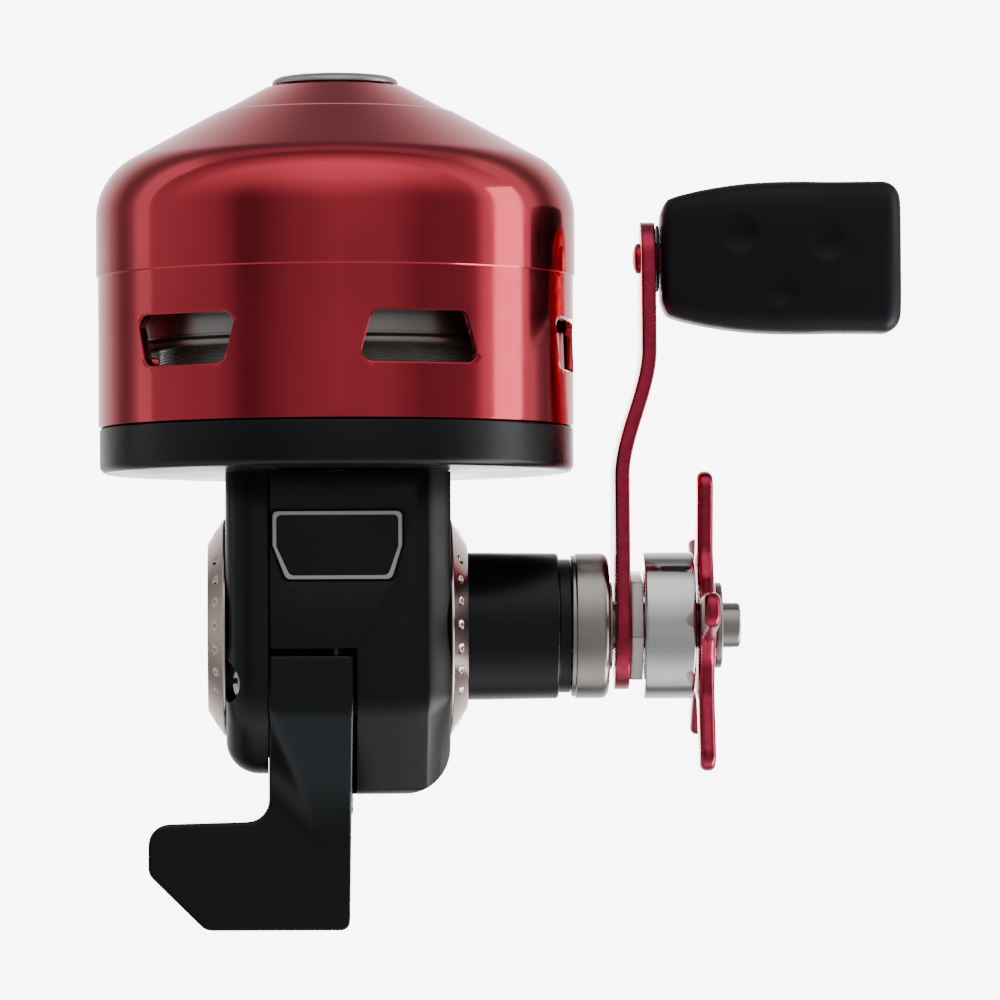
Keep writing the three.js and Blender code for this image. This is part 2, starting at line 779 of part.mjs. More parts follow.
function starWheel() {
  const { near, far, tipR, valleyR, arms, firstAngle } = STAR;
  const points = Array.from({ length: arms * 12 }, (_, i) => {
    const turn = (i / 12) * ((2 * Math.PI) / arms);
    const lobe = ((1 + Math.cos(turn * arms)) / 2) ** 2.2;
    const radius = valleyR + (tipR - valleyR) * lobe;
    const angle = turn + THREE.MathUtils.degToRad(firstAngle);
    return [radius * Math.cos(angle), radius * Math.sin(angle)];
  });
  return cut(
    extrudedX(outline(points), near, far),
    drill("x", CRANK_BORE_R, [0, 0, 0], 40, 60, 20),
  );
}

function knobGrip() {
  const { near, far, half, edge } = KNOB;
  const side = [
    [near, 7.4],
    [49.4, 9.1],
    [54.5, 10],
    [61, 10.5],
    [far, 10.5],
  ];
  const lower = side.map(([x, r]) => [x, -r]);
  const shape = outline([...lower, ...side.reverse()]);
  const paddle = extruded(shape, -half, half, { bevel: edge });
  return cut(paddle, drill("x", 2.3, [0, 0, 0], 40, 63, 14));
}

const knobSpindle = () =>
  turnedX(
    [
      [0, 40.9],
      [1.5, 41.1],
      [2.1, 41.6],
      [1.3, 41.6],
      [1.3, 44],
      [2, 44],
      [2, 62],
      [0, 62],
    ],
    14,
  );

const collar = () =>
  turnedX(
    [
      [CRANK_BORE_R, 32],
      [9.7, 32],
      [10, 32.4],
      [10, 36.3],
      [9.1, 37.2],
      [6, 37.2],
      [6, 37.7],
      [CRANK_BORE_R, 37.7],
    ],
    28,
  );

const starHub = () =>
  turnedX(
    [
      [CRANK_BORE_R, 42],
      [9.7, 42],
      [10.1, 42.4],
      [10.1, 48.4],
      [9.6, 48.9],
      [CRANK_BORE_R, 48.9],
    ],
    28,
  );

const leftInlay = () =>
  turnedX(
    [
      [0, -17.2],
      [10.2, -17.2],
      [10.2, -15.6],
      [0, -15.6],
    ],
    32,
  );

// The lever's arm pushes this button, and with it the main shaft, towards the nose.
const thrustButton = () =>
  turned(
    [
      [0, -15.7],
      [1.2, -15.7],
      [1.2, -14.4],
      [3, -14.4],
      [3, -12.8],
      [0, -12.8],
    ],
    16,
  );

const washer = (inner, outer, [from, to], segments = 24) =>
  turned(ringProfile(inner, outer, from, to), segments);
const washerX = (...sizes) => washer(...sizes).rotateZ(-Math.PI / 2);

// ---------- assembly ----------
place(reelAxis, "front_cover", frontCover(), redAnodised());
place(reelAxis, "nose_ring", noseRing(), steel());
place(reelAxis, "front_plate", frontPlate(), black());
place(reelAxis, "main_housing", mainHousing(), black());
place(reelAxis, "left_side_cover", leftSideCover(), black());
place(reelAxis, "nameplate", nameplateBlock(0, BODY_HALF - 0.2, BODY_HALF + 0.2), black());
plateScrews.forEach(({ name, x, z }) => {
  const body = screw(2.1, 1.2, 19, 17.5, 11.6).translate(x, 0, z);
  place(reelAxis, `plate_screw_${name}`, body, steel());
});
sideScrews.forEach(({ name, y, z }) => {
  const { headR, shankR, headX, seatX, tipX } = SCREW;
  const body = screw(headR, shankR, headX, seatX, tipX).rotateZ(-Math.PI / 2);
  place(reelAxis, `side_screw_${name}`, body.translate(0, y, z), steel());
});
footScrews.forEach(({ name, y }) => {
  const [head, seat, tip] = [FOOT.plate - 1.8, FOOT.plate - GAP, AXIS_Z - BODY_HALF + 1.7];
  const body = screw(2.4, 1.3, head, seat, tip).rotateX(Math.PI / 2);
  place(reel, `foot_screw_${name}`, body.translate(0, y, 0), steel());
});
place(reel, "rod_foot", rodFoot(), black());

const DRIVE_BORE_R = DRIVE_R + GAP;
const BEARING_R = 6.5;
const { clip, innerWasher, pressurePlate, outerWasher, ballBearing, oneWayBearing } = CRANK_STACK;
place(crankAxis, "right_trim_ring", trimRing(), rose());
place(crankAxis, "left_trim_ring", trimRing().rotateZ(Math.PI), rose());
place(crankAxis, "left_inlay", leftInlay(), black());
place(crankAxis, "crank_bearing_housing", neck(), black());
place(crankAxis, "crank_ball_bearing", washerX(CRANK_BORE_R, BEARING_R, ballBearing, 16), steel());
place(crankAxis, "one_way_bearing", washerX(CRANK_BORE_R, BEARING_R, oneWayBearing, 16), steel());

const { bushing, rearBearing, frontBearing, spoolRetainer, cupNut } = REEL_STACK;
place(reelAxis, "spool", spool(), aluminium());
place(reelAxis, "line_winding", lineWinding(), plastic(0xcfd2cc, 0.3));
place(reelAxis, "spool_retainer", washer(HUB_R + GAP, 10.5, spoolRetainer), steel());
place(reelAxis, "main_bearing_rear", washer(BORE_R, HUB_BORE_R - GAP, rearBearing, 16), steel());
place(reelAxis, "main_bearing_front", washer(BORE_R, HUB_BORE_R - GAP, frontBearing, 16), steel());
place(reelAxis, "rear_bushing", washer(BORE_R, 2.7, bushing, 20), brass());
place(reelAxis, "shaft_return_spring", coil(3, 0.35, 8, 12.2, 4), steel());

place(reelAxis, "main_shaft", mainShaft(), steel());
place(reelAxis, "pinion_gear", pinionGear(), brass());
place(reelAxis, "winding_cup", windingCup(), aluminium());
place(reelAxis, "cup_nut", washer(BORE_R, 4.2, cupNut, 6), steel());
place(reelAxis, "pickup_pin", pickupPin(), steel());
place(reelAxis, "thrust_button", thrustButton(), steel());

place(leverAxis, "thumb_lever", thumbLever(), black());
place(leverAxis, "lever_pivot_pin", drill("x", PIVOT.r, [0, 0, 0], -12.2, 5.3), steel());
place(leverAxis, "lever_spring", coil(2.6, 0.35, -8.4, -6.4, 3).rotateZ(-Math.PI / 2), steel());

place(crankAxis, "crank_shaft", crankShaft(), steel());
place(crankAxis, "drive_gear", driveGear(), brass());
place(crankAxis, "gear_clip", washerX(DRIVE_BORE_R, 4.6, clip, 20), steel());
place(crankAxis, "drag_washer_inner", washerX(DRIVE_BORE_R, 9, innerWasher), fibre());
place(crankAxis, "pressure_plate", washerX(DRIVE_BORE_R, 9.4, pressurePlate), steel());
place(crankAxis, "drag_washer_outer", washerX(DRIVE_BORE_R, 9, outerWasher), fibre());
place(crankAxis, "collar", collar(), steel());
place(crankAxis, "handle_arm", handleArm(), crimson());
place(crankAxis, "handle_nut", hexNut(), steel());
place(crankAxis, "end_nut", washerX(CRANK_BORE_R, 5.9, CRANK_STACK.endNut), steel());
place(crankAxis, "star_hub", starHub(), metal(0xc8ccd2, 0.2));
place(crankAxis, "star_wheel", starWheel(), crimson());

place(knobAxis, "knob_spindle", knobSpindle(), crimson());
place(knobAxis, "knob_washer", washerX(2 + GAP, 4.6, CRANK_STACK.knobWasher, 18), rubber());
place(knobAxis, "knob_grip", knobGrip(), rubber());

export default reel;
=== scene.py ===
"""Spincast reel: the visible surfaces and materials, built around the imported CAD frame."""
import json
import math

import bmesh
import bpy
from mathutils import Matrix, Vector, noise


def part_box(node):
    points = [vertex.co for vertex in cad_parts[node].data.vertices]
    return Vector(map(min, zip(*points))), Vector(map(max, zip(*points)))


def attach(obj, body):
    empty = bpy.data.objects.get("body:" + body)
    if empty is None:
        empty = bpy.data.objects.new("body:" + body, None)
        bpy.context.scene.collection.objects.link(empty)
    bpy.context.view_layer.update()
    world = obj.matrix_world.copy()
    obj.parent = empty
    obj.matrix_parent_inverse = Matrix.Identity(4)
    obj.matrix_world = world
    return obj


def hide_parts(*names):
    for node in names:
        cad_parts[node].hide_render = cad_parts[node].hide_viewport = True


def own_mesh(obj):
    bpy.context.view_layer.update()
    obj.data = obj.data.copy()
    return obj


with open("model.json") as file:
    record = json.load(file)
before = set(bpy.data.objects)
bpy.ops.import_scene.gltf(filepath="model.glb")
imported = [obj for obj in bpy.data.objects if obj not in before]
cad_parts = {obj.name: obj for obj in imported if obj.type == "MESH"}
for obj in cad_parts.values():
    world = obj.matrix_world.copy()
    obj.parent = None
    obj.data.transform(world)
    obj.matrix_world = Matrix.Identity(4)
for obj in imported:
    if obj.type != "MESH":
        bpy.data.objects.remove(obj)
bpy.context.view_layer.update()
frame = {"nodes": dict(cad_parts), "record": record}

# ---------- driving dimensions, millimetres, read from the frame where it has them ----------
MM = 0.001


def box_mm(node):
    low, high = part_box(node)
    return low / MM, high / MM


def centre(node):
    low, high = box_mm(node)
    return (low + high) / 2


cover_low, cover_high = box_mm("front_cover")
plate_low, plate_high = box_mm("front_plate")
housing_low, housing_high = box_mm("main_housing")
left_low, left_high = box_mm("left_side_cover")
knob_low, knob_high = box_mm("knob_grip")
nose_low, nose_high = box_mm("nose_ring")

AXIS_Z = centre("star_hub").z
CRANK_Y = centre("star_hub").y
KNOB_Y = centre("knob_grip").y
COVER_R = cover_high.x
PLATE_R = plate_high.x
BODY_HALF = (left_high.z - left_low.z) / 2
BODY_TOP = AXIS_Z + BODY_HALF
GAP = 0.3
WALL = 1.3
SHOULDER_Y = 49.7
SHOULDER_R = 9.4
CONE_SLOPE = math.radians(28.6)
CONE_DROP = 0.26
STEP_Y = 41.4
COVER_STEP = 0.25


# ---------- mesh helpers ----------
def new_object(name, verts, faces, smooth_angle=35):
    """A closed object from vertices in millimetres: smooth, with sharp edges past an angle."""
    mesh = bpy.data.meshes.new(name)
    mesh.from_pydata([tuple(c * MM for c in v) for v in verts], [], faces)
    mesh.validate()
    obj = bpy.data.objects.new(name, mesh)
    bpy.context.scene.collection.objects.link(obj)
    shade(obj, smooth_angle)
    fix_normals(obj)
    return obj


def shade(obj, angle=35):
    obj.data.shade_smooth()
    obj.data.set_sharp_from_angle(angle=math.radians(angle))


def fix_normals(obj):
    bm = bmesh.new()
    bm.from_mesh(obj.data)
    bmesh.ops.recalc_face_normals(bm, faces=bm.faces)
    bm.to_mesh(obj.data)
    bm.free()


def filleted(points, steps=5):
    """A polyline whose corners (u, v, radius) become round arcs. The line is closed."""
    out = []
    count = len(points)
    for i, point in enumerate(points):
        here = Vector(point[:2])
        radius = point[2] if len(point) > 2 else 0
        before = (Vector(points[i - 1][:2]) - here).normalized()
        after = (Vector(points[(i + 1) % count][:2]) - here).normalized()
        half = before.angle(after) / 2
        if radius <= 0 or half > math.radians(89):
            out.append(tuple(here))
            continue
        reach = radius / math.tan(half)
        middle = here + (before + after).normalized() * (radius / math.sin(half))
        start = here + before * reach - middle
        turn = start.angle_signed(here + after * reach - middle)
        for k in range(steps + 1):
            spot = start.copy()
            spot.rotate(Matrix.Rotation(-turn * k / steps, 2))
            out.append(tuple(middle + spot))
    return out


def arc_points(middle, radius, first, last, steps):
    """Points of an arc round a middle, from one angle to another in radians."""
    angles = [first + (last - first) * i / steps for i in range(steps + 1)]
    return [(middle[0] + radius * math.cos(a), middle[1] + radius * math.sin(a)) for a in angles]


def dome_points(radius, top, rise):
    """(radius, station) points of a low dome, from beside its top to its rim."""
    angles = [math.radians(a) for a in range(10, 91, 10)]
    return [(radius * math.sin(a), top + rise * (1 - math.cos(a))) for a in angles]


def ring_faces(rows, columns, closed_rows=True):
    """Quads between neighbouring rows of a grid that wraps round its columns."""
    faces = []
    for i in range(rows if closed_rows else rows - 1):
        for j in range(columns):
            a, b = i * columns + j, i * columns + (j + 1) % columns
            c, d = ((i + 1) % rows) * columns + (j + 1) % columns, ((i + 1) % rows) * columns + j
            faces.append((a, b, c, d))
    return faces


def loft(name, sections, smooth_angle=35):
    """A solid skinned over rows of points, with a flat face at each end."""
    count, columns = len(sections), len(sections[0])
    verts = [spot for section in sections for spot in section]
    faces = ring_faces(count, columns, closed_rows=False)
    first, last = range(columns), range(len(verts) - columns, len(verts))
    faces += [tuple(first)[::-1], tuple(last)]
    return new_object(name, verts, faces, smooth_angle)


def revolve(name, profile, axis="y", segments=160, y=0.0, smooth_angle=35):
    """A body turned round the reel's axis, or for x round a crosswise axis at some y.

    The profile holds (radius, station) and goes up outside, down inside.
    """
    open_ends = profile[0][0] == 0 and profile[-1][0] == 0
    rows = [p for p in profile if p[0] > 0]
    verts = []
    for radius, station in rows:
        for j in range(segments):
            angle = 2 * math.pi * j / segments
            u, v = radius * math.sin(angle), radius * math.cos(angle)
            if axis == "y":
                verts.append((u, station, v + AXIS_Z))
            else:
                verts.append((station, y + v, AXIS_Z + u))
    faces = ring_faces(len(rows), segments, closed_rows=not open_ends)
    if open_ends:
        ends = ((profile[0][1], 0, True), (profile[-1][1], (len(rows) - 1) * segments, False))
        for station, base, flip in ends:
            verts.append((0, station, AXIS_Z) if axis == "y" else (station, y, AXIS_Z))
            hub = len(verts) - 1
            for j in range(segments):
                pair = (base + j, base + (j + 1) % segments)
                faces.append((hub, pair[1], pair[0]) if flip else (hub, pair[0], pair[1]))
    return new_object(name, verts, faces, smooth_angle)


def apply_modifiers(obj):
    graph = bpy.context.evaluated_depsgraph_get()
    mesh = bpy.data.meshes.new_from_object(obj.evaluated_get(graph))
    obj.modifiers.clear()
    old, obj.data = obj.data, mesh
    bpy.data.meshes.remove(old)
    return obj


def combine(obj, tool, operation="DIFFERENCE"):
    """Cuts or joins a tool, which is then removed."""
    modifier = obj.modifiers.new("combine", "BOOLEAN")
    modifier.object = tool
    modifier.operation = operation
    modifier.solver = "EXACT"
    bpy.context.view_layer.update()
    apply_modifiers(obj)
    bpy.data.objects.remove(tool)
    return obj


def prism(name, outline, start, end, axis="x"):
    """An outline pulled along an axis, drawn in (y, z) for x, (x, z) for y and (x, y) for z."""
    place = {
        "x": lambda u, v, w: (w, u, v),
        "y": lambda u, v, w: (u, w, v),
        "z": lambda u, v, w: (u, v, w),
    }[axis]
    count = len(outline)
    verts = [place(u, v, w) for w in (start, end) for u, v in outline]
    faces = [tuple(range(count))[::-1], tuple(range(count, 2 * count))]
    faces += [(i, (i + 1) % count, (i + 1) % count + count, i + count) for i in range(count)]
    return new_object(name, verts, faces)


def bevel_where(obj, test, width, segments, profile=0.5):
    """Rounds the sharp edges that pass a test on their two ends, in millimetres."""
    sharp = 0.3
    bm = bmesh.new()
    bm.from_mesh(obj.data)
    edges = [
        edge for edge in bm.edges
        if test(edge.verts[0].co / MM, edge.verts[1].co / MM) and edge.calc_face_angle(0) > sharp
    ]
    bmesh.ops.bevel(bm, geom=edges, offset=width * MM, segments=segments, profile=profile, affect="EDGES")
    bm.to_mesh(obj.data)
    bm.free()
    shade(obj)


def edge_break(obj, width, segments=2, angle=40):
    """A small round on every sharp edge."""
    modifier = obj.modifiers.new("edge", "BEVEL")
    modifier.width = width * MM
    modifier.segments = segments
    modifier.limit_method = "ANGLE"
    modifier.angle_limit = math.radians(angle)
    modifier.use_clamp_overlap = True
    modifier.harden_normals = False
    bpy.context.view_layer.update()
    apply_modifiers(obj)
    shade(obj, 50)
    return obj


def remesh(obj, voxel, smoothing):
    """One even skin over a solid, with its edges softened."""
    modifier = obj.modifiers.new("skin", "REMESH")
    modifier.mode = "VOXEL"
    modifier.voxel_size = voxel * MM
    modifier.adaptivity = 0
    soften = obj.modifiers.new("soften", "SMOOTH")
    soften.factor = 0.5
    soften.iterations = smoothing
    bpy.context.view_layer.update()
    apply_modifiers(obj)
    shade(obj, 180)
    return obj


def cylinder_tool(radius, middle, start, end, axis="x"):
    circle = arc_points(middle, radius, 0, 2 * math.pi, 64)
    return prism("tool", circle[:-1], start, end, axis)


def box_tool(x, y, z):
    return prism("tool", [(x[0], y[0]), (x[1], y[0]), (x[1], y[1]), (x[0], y[1])], z[0], z[1], "z")


# ---------- materials ----------
def set_inputs(node, values):
    """Sets some of a node's inputs; an underscore in a name stands for a space."""
    for key, value in values.items():
        node.inputs[key.replace("_", " ")].default_value = value


def shader(name, color, metallic=0.0, roughness=0.4, **extra):
    material = bpy.data.materials.new(name)
    material.use_nodes = True
    node = material.node_tree.nodes["Principled BSDF"]
    values = {"Base_Color": (*color, 1), "Metallic": metallic, "Roughness": roughness, **extra}
    set_inputs(node, values)
    return material


def add_node(tree, kind, **values):
    node = tree.nodes.new("ShaderNode" + kind)
    set_inputs(node, values)
    return node


def noise_field(material, scale, stretch=(1, 1, 1), detail=3.0):
    """A noise value over the object's own coordinates; scale is in waves per metre."""
    tree = material.node_tree
    where = add_node(tree, "TexCoord")
    mapping = add_node(tree, "Mapping", Scale=stretch)
    field = add_node(tree, "TexNoise", Scale=scale, Detail=detail)
    tree.links.new(where.outputs["Object"], mapping.inputs["Vector"])
    tree.links.new(mapping.outputs["Vector"], field.inputs["Vector"])
    return field.outputs["Fac"]


def vary(material, socket, field, low, high):
    """Maps a 0 to 1 field onto a socket."""
    tree = material.node_tree
    spread = add_node(tree, "MapRange", From_Min=0.3, From_Max=0.7, To_Min=low, To_Max=high)
    tree.links.new(field, spread.inputs["Value"])
    tree.links.new(spread.outputs["Result"], tree.nodes["Principled BSDF"].inputs[socket])


def tint(material, field, first, second):
    tree = material.node_tree
    ramp = add_node(tree, "ValToRGB")
    for element, place, color in zip(ramp.color_ramp.elements, (0.35, 0.65), (first, second)):
        element.position = place
        element.color = (*color, 1)
    tree.links.new(field, ramp.inputs["Fac"])
    tree.links.new(ramp.outputs["Color"], tree.nodes["Principled BSDF"].inputs["Base Color"])


def bump(material, field, height_mm):
    tree = material.node_tree
    node = add_node(tree, "Bump", Strength=1.0, Distance=height_mm * MM)
    tree.links.new(field, node.inputs["Height"])
    tree.links.new(node.outputs["Normal"], tree.nodes["Principled BSDF"].inputs["Normal"])


def shifted(color, factor):
    return tuple(min(1.0, c * factor) for c in color)


def turned_metal(name, color, roughness, axis, line=0.0012, **extra):
    """Machined metal: fine rings round an axis, with a slow change in gloss."""
    material = shader(name, color, 1.0, roughness, **extra)
    stretch = (1, 0.02, 0.02) if axis == "x" else (0.02, 1, 0.02)
    rings = noise_field(material, 9000, stretch, 2)
    bump(material, rings, line)
    vary(material, "Roughness", noise_field(material, 160, stretch, 2), roughness * 0.8, roughness * 1.25)
    tint(material, noise_field(material, 60), shifted(color, 0.93), shifted(color, 1.05))
    return material


def tumbled_metal(name, color, roughness):
    """Stamped and tumbled metal: a fine uneven surface and a slightly patchy dye."""
    material = shader(name, color, 1.0, roughness, Coat_Weight=0.6, Coat_Roughness=0.18)
    bump(material, noise_field(material, 900, detail=4), 0.014)
    vary(material, "Roughness", noise_field(material, 260), roughness * 0.8, roughness * 1.25)
    tint(material, noise_field(material, 700, detail=4), shifted(color, 0.8), shifted(color, 1.06))
    return material


def satin_black(name, color, roughness, grain=0.004, sheen=(0.93, 0.96, 1.0), ior=1.45):
    """Sprayed or moulded black: an even fine grain, slightly uneven gloss and a cool sheen."""
    material = shader(name, color, 0.0, roughness, IOR=ior, Specular_Tint=(*sheen, 1))
    bump(material, noise_field(material, 5200, detail=2), grain)
    vary(material, "Roughness", noise_field(material, 90), roughness * 0.85, roughness * 1.2)
    tint(material, noise_field(material, 70), shifted(color, 0.85), shifted(color, 1.2))
    return material


RED = turned_metal(
    "anodised_red", (0.76, 0.042, 0.075), 0.12, "y", 0.0004, Coat_Weight=0.6, Coat_Roughness=0.06
)
CRIMSON = tumbled_metal("anodised_crimson", (0.60, 0.024, 0.084), 0.27)
BLACK = satin_black("satin_black", (0.0052, 0.0054, 0.0062), 0.3)
LEVER_BLACK = satin_black("lever_black", (0.0025, 0.0028, 0.0036), 0.26, 0.002, (0.84, 0.92, 1.0), 1.5)
RUBBER = satin_black("soft_rubber", (0.0032, 0.0036, 0.0046), 0.5, 0.006, (0.84, 0.91, 1.0), 1.43)
ROSE = turned_metal("rose_metal", (0.86, 0.68, 0.62), 0.16, "x", 0.0006)
NICKEL = turned_metal("satin_nickel", (0.50, 0.475, 0.45), 0.22, "x")
NOSE_STEEL = turned_metal("nose_steel", (0.60, 0.595, 0.59), 0.36, "y")
BRIGHT = turned_metal("bright_aluminium", (0.93, 0.95, 0.98), 0.1, "x", 0.0006)
GREY = turned_metal("cup_aluminium", (0.50, 0.49, 0.475), 0.34, "y", 0.002)
BRASS = turned_metal("brass", (0.62, 0.46, 0.2), 0.3, "y")
SCREW_STEEL = turned_metal("screw_steel", (0.78, 0.77, 0.75), 0.2, "x")
STEEL = turned_metal("plain_steel", (0.55, 0.54, 0.53), 0.3, "x")
DARK_STEEL = turned_metal("blackened_steel", (0.02, 0.02, 0.021), 0.4, "x")
FIBRE = satin_black("drag_fibre", (0.09, 0.07, 0.055), 0.8, 0.02)
LINE = shader("monofilament", (0.62, 0.63, 0.58), 0.0, 0.18, Coat_Weight=0.5)
vary(LINE, "Roughness", noise_field(LINE, 800), 0.12, 0.3)
tint(LINE, noise_field(LINE, 300, (0.3, 1, 0.3)), (0.42, 0.43, 0.4), (0.72, 0.73, 0.68))
SILVER_PRINT = shader("silver_border", (0.70, 0.71, 0.73), 0.0, 0.4)
vary(SILVER_PRINT, "Roughness", noise_field(SILVER_PRINT, 600), 0.33, 0.5)


def piece(obj, body, material, slot, *nodes):
    """Finishes a visible piece: its material, the body it rides on and the nodes it stands for."""
    obj.data.materials.clear()
    obj.data.materials.append(material)
    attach(obj, body)
    if nodes:
        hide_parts(*nodes)
    return obj


# ---------- front cover ----------
def shoulder_arc(radius, steps):
    """The cover's shoulder from its upright side to where the cone starts."""
    last = math.pi / 2 - CONE_SLOPE
    middle = COVER_R - SHOULDER_R
    return [
        (middle + radius * math.cos(last * i / steps), SHOULDER_Y + radius * math.sin(last * i / steps))
        for i in range(steps + 1)
    ]


def cone_y(radius, offset=0.0):
    reach = SHOULDER_R - offset
    start = COVER_R - SHOULDER_R + reach * math.sin(CONE_SLOPE)
    return SHOULDER_Y + reach * math.cos(CONE_SLOPE) + (start - radius) * math.tan(CONE_SLOPE)


def smooth(value):
    value = min(max(value, 0), 1)
    return value * value * (3 - 2 * value)


def spaced(start, end, steps):
    """Evenly spaced points from a start up to, but not at, an end."""
    return [tuple(a + (b - a) * i / steps for a, b in zip(start, end)) for i in range(steps)]


def cover_profile():
    """The bell: a straight skirt, a small step, a round shoulder and a cone that dips near the nose."""
    low_r = COVER_R - COVER_STEP
    inner = low_r - WALL
    rear = cover_low.y
    nose_y = nose_low.y + 3.0
    outer = [(inner + 0.3, rear), (low_r - 0.3, rear), (low_r - 0.06, rear + 0.12), (low_r, rear + 0.4)]
    outer += spaced((low_r, rear + 0.8), (low_r, STEP_Y), 24)
    outer += [(low_r, STEP_Y), (low_r + 0.02, STEP_Y + 0.03)]
    outer += [(COVER_R - 0.07, STEP_Y + 0.06), (COVER_R, STEP_Y + 0.16)]
    outer += spaced((COVER_R, 42.2), (COVER_R, SHOULDER_Y - 0.5), 6)
    outer += shoulder_arc(SHOULDER_R, 22)
    radii = [27.4 - 0.2 * i for i in range(89)]
    outer += [(r, cone_y(r) - CONE_DROP * smooth((16.8 - r) / 0.6)) for r in radii]
    outer += [(9.6, nose_y - 0.17), (9.3, nose_y - 0.03), (9.0, nose_y), (7.0, nose_y), (7.0, nose_y - 1.6)]
    inside = [(9.5, cone_y(9.5, WALL) - 0.8)] + shoulder_arc(SHOULDER_R - WALL, 14)[::-1]
    inside += [(inner, SHOULDER_Y - 2.0)] + spaced((inner, SHOULDER_Y - 4), (inner, rear + 0.3), 24)
    return outer + inside + [(inner, rear + 0.3)]


WINDOW_REAR, WINDOW_FRONT = 28.4, 35.2
WINDOW_WIDE, WINDOW_NARROW = 8.6, 6.7


def window_tool(index):
    """A window's outline lofted outwards, flaring where it breaks the outer surface."""
    front, rear = (WINDOW_NARROW, WINDOW_WIDE) if index % 2 else (WINDOW_WIDE, WINDOW_NARROW)
    corners = [
        (-rear, WINDOW_REAR, 1.5), (rear, WINDOW_REAR, 1.5),
        (front, WINDOW_FRONT, 1.5), (-front, WINDOW_FRONT, 1.5),
    ]
    shape = filleted(corners, 8)
    middle_y = (WINDOW_REAR + WINDOW_FRONT) / 2
    surface = COVER_R - COVER_STEP
    turn = math.radians(-40 + 60 * index)
    half_width, half_height = 8, (WINDOW_FRONT - WINDOW_REAR) / 2
    shells = (
        (surface - 5, 0.0), (surface - 0.3, 0.0), (surface - 0.1, 0.08), (surface + 0.02, 0.3),
        (surface + 2, 0.3),
    )
    sections = []
    for shell, grow in shells:
        section = []
        for t, y in shape:
            wide = t * (1 + grow / half_width)
            tall = middle_y + (y - middle_y) * (1 + grow / half_height)
            depth = math.sqrt(shell**2 - wide**2)
            x = depth * math.sin(turn) + wide * math.cos(turn)
            z = depth * math.cos(turn) - wide * math.sin(turn)
            section.append((x, tall, z + AXIS_Z))
        sections.append(section)
    return loft("tool", sections)


def build_cover():
    cover = revolve("cover_shell", cover_profile(), segments=240)
    for index in range(6):
        combine(cover, window_tool(index))
    shade(cover, 30)
    piece(cover, "frame", RED, "red_anodised", "front_cover")


def build_nose_ring():
    y0 = nose_low.y
    top = nose_high.y
    profile = [
        (4.2, y0), (6.7, y0), (6.7, top - 1.22), (8.55, top - 1.22), (8.7, top - 1.1),
        (8.7, top - 0.85), (8.6, top - 0.62), (8.3, top - 0.35), (7.8, top - 0.13),
        (7.2, top - 0.02), (6.6, top), (5.9, top - 0.03), (5.2, top - 0.15), (4.5, top - 0.4),
        (3.9, top - 0.85), (3.5, top - 1.5), (3.3, top - 2.3), (3.3, top - 3.2), (3.6, y0 + 0.5),
    ]
    ring = revolve("nose_guide", profile, segments=128, smooth_angle=50)
    piece(ring, "frame", NOSE_STEEL, "steel", "nose_ring")


def build_front_plate():
    rear, rim = plate_low.y + 1.8, cover_low.y - 0.08
    spigot = COVER_R - WALL - 0.55
    profile = filleted([
        (5.6, plate_low.y), (8, plate_low.y, 0.3), (8, rear, 0.3), (PLATE_R, rear, 1.1),
        (PLATE_R, rim, 0.3), (spigot, rim, 0.2), (spigot, 25.6, 0.3), (spigot - 1.6, 25.6, 0.3),
        (spigot - 1.6, 17.2, 0.6), (7.5, 17.2, 0.4), (7.5, plate_high.y, 0.3), (5.6, plate_high.y, 0.3),
    ])
    plate = revolve("front_flange", profile, segments=200)
    piece(plate, "frame", BLACK, "black_satin", "front_plate")


# ---------- winding cup and line ----------
def build_cup():
    profile = [
        (26.3, 31.05), (26.8, 31.0), (27.6, 31.02), (27.95, 31.15), (28.1, 31.45), (28.1, 31.85),
        (27.95, 32.15), (27.62, 32.3), (27.5, 32.42), (27.28, 32.46), (27.24, 32.6), (27.28, 32.75),
        (27.5, 32.8), (27.5, 33.4), (27.5, 36), (27.5, 42), (27.5, 46.6), (27.35, 48), (26.9, 49.6),
        (26.1, 51.1), (25, 52.4), (23.5, 53.5), (20.6, 54.8), (17, 56), (9, 57.2), (1.9, 57.4),
        (1.9, 50), (6, 50), (6, 55.6), (9, 55.6), (16.6, 54.4), (22.6, 52.3), (25, 50.2), (26.1, 47),
        (26.2, 40), (26.2, 33),
    ]
    cup = revolve("winding_cup_shell", profile, segments=160, smooth_angle=40)
    piece(cup, "winding_head", GREY, "grey_aluminium", "winding_cup")


def build_line():
    """The wound line: rows of fine turns, slightly crowned."""
    low, high = box_mm("line_winding")
    radius = high.x
    pitch = 0.36
    rows = int((high.y - low.y - 0.4) / pitch)
    outer = []
    for k in range(rows):
        station = low.y + 0.2 + k * pitch
        uneven = 0.12 * noise.noise(Vector((k * 0.7, 0, 0)))
        crown = radius - 0.2 - 0.25 * abs(2 * k / rows - 1) ** 2 - uneven
        outer += [(crown - 0.13, station), (crown - 0.03, station + 0.09)]
        outer += [(crown, station + 0.18), (crown - 0.03, station + 0.27)]
    profile = [(15.4, low.y + 0.1), *outer, (15.4, high.y - 0.1)]
    winding = revolve("wound_line", profile, segments=120, smooth_angle=80)
    piece(winding, "frame", LINE, "line", "line_winding")


# ---------- body ----------
def body_block(name, side, rim, other_end, fillet, steps, profile=0.5):
    """A side outline pulled across the body, its lengthwise corners rounded, then its outer rim."""
    outline = [(y, AXIS_Z + z) for y, z in filleted(side, steps)]
    block = prism(name, outline, min(rim, other_end), max(rim, other_end))

    def on_rim(a, b):
        return abs(a.x - rim) < 1e-3 and abs(b.x - rim) < 1e-3

    bevel_where(block, on_rim, fillet, 10, profile)
    return block


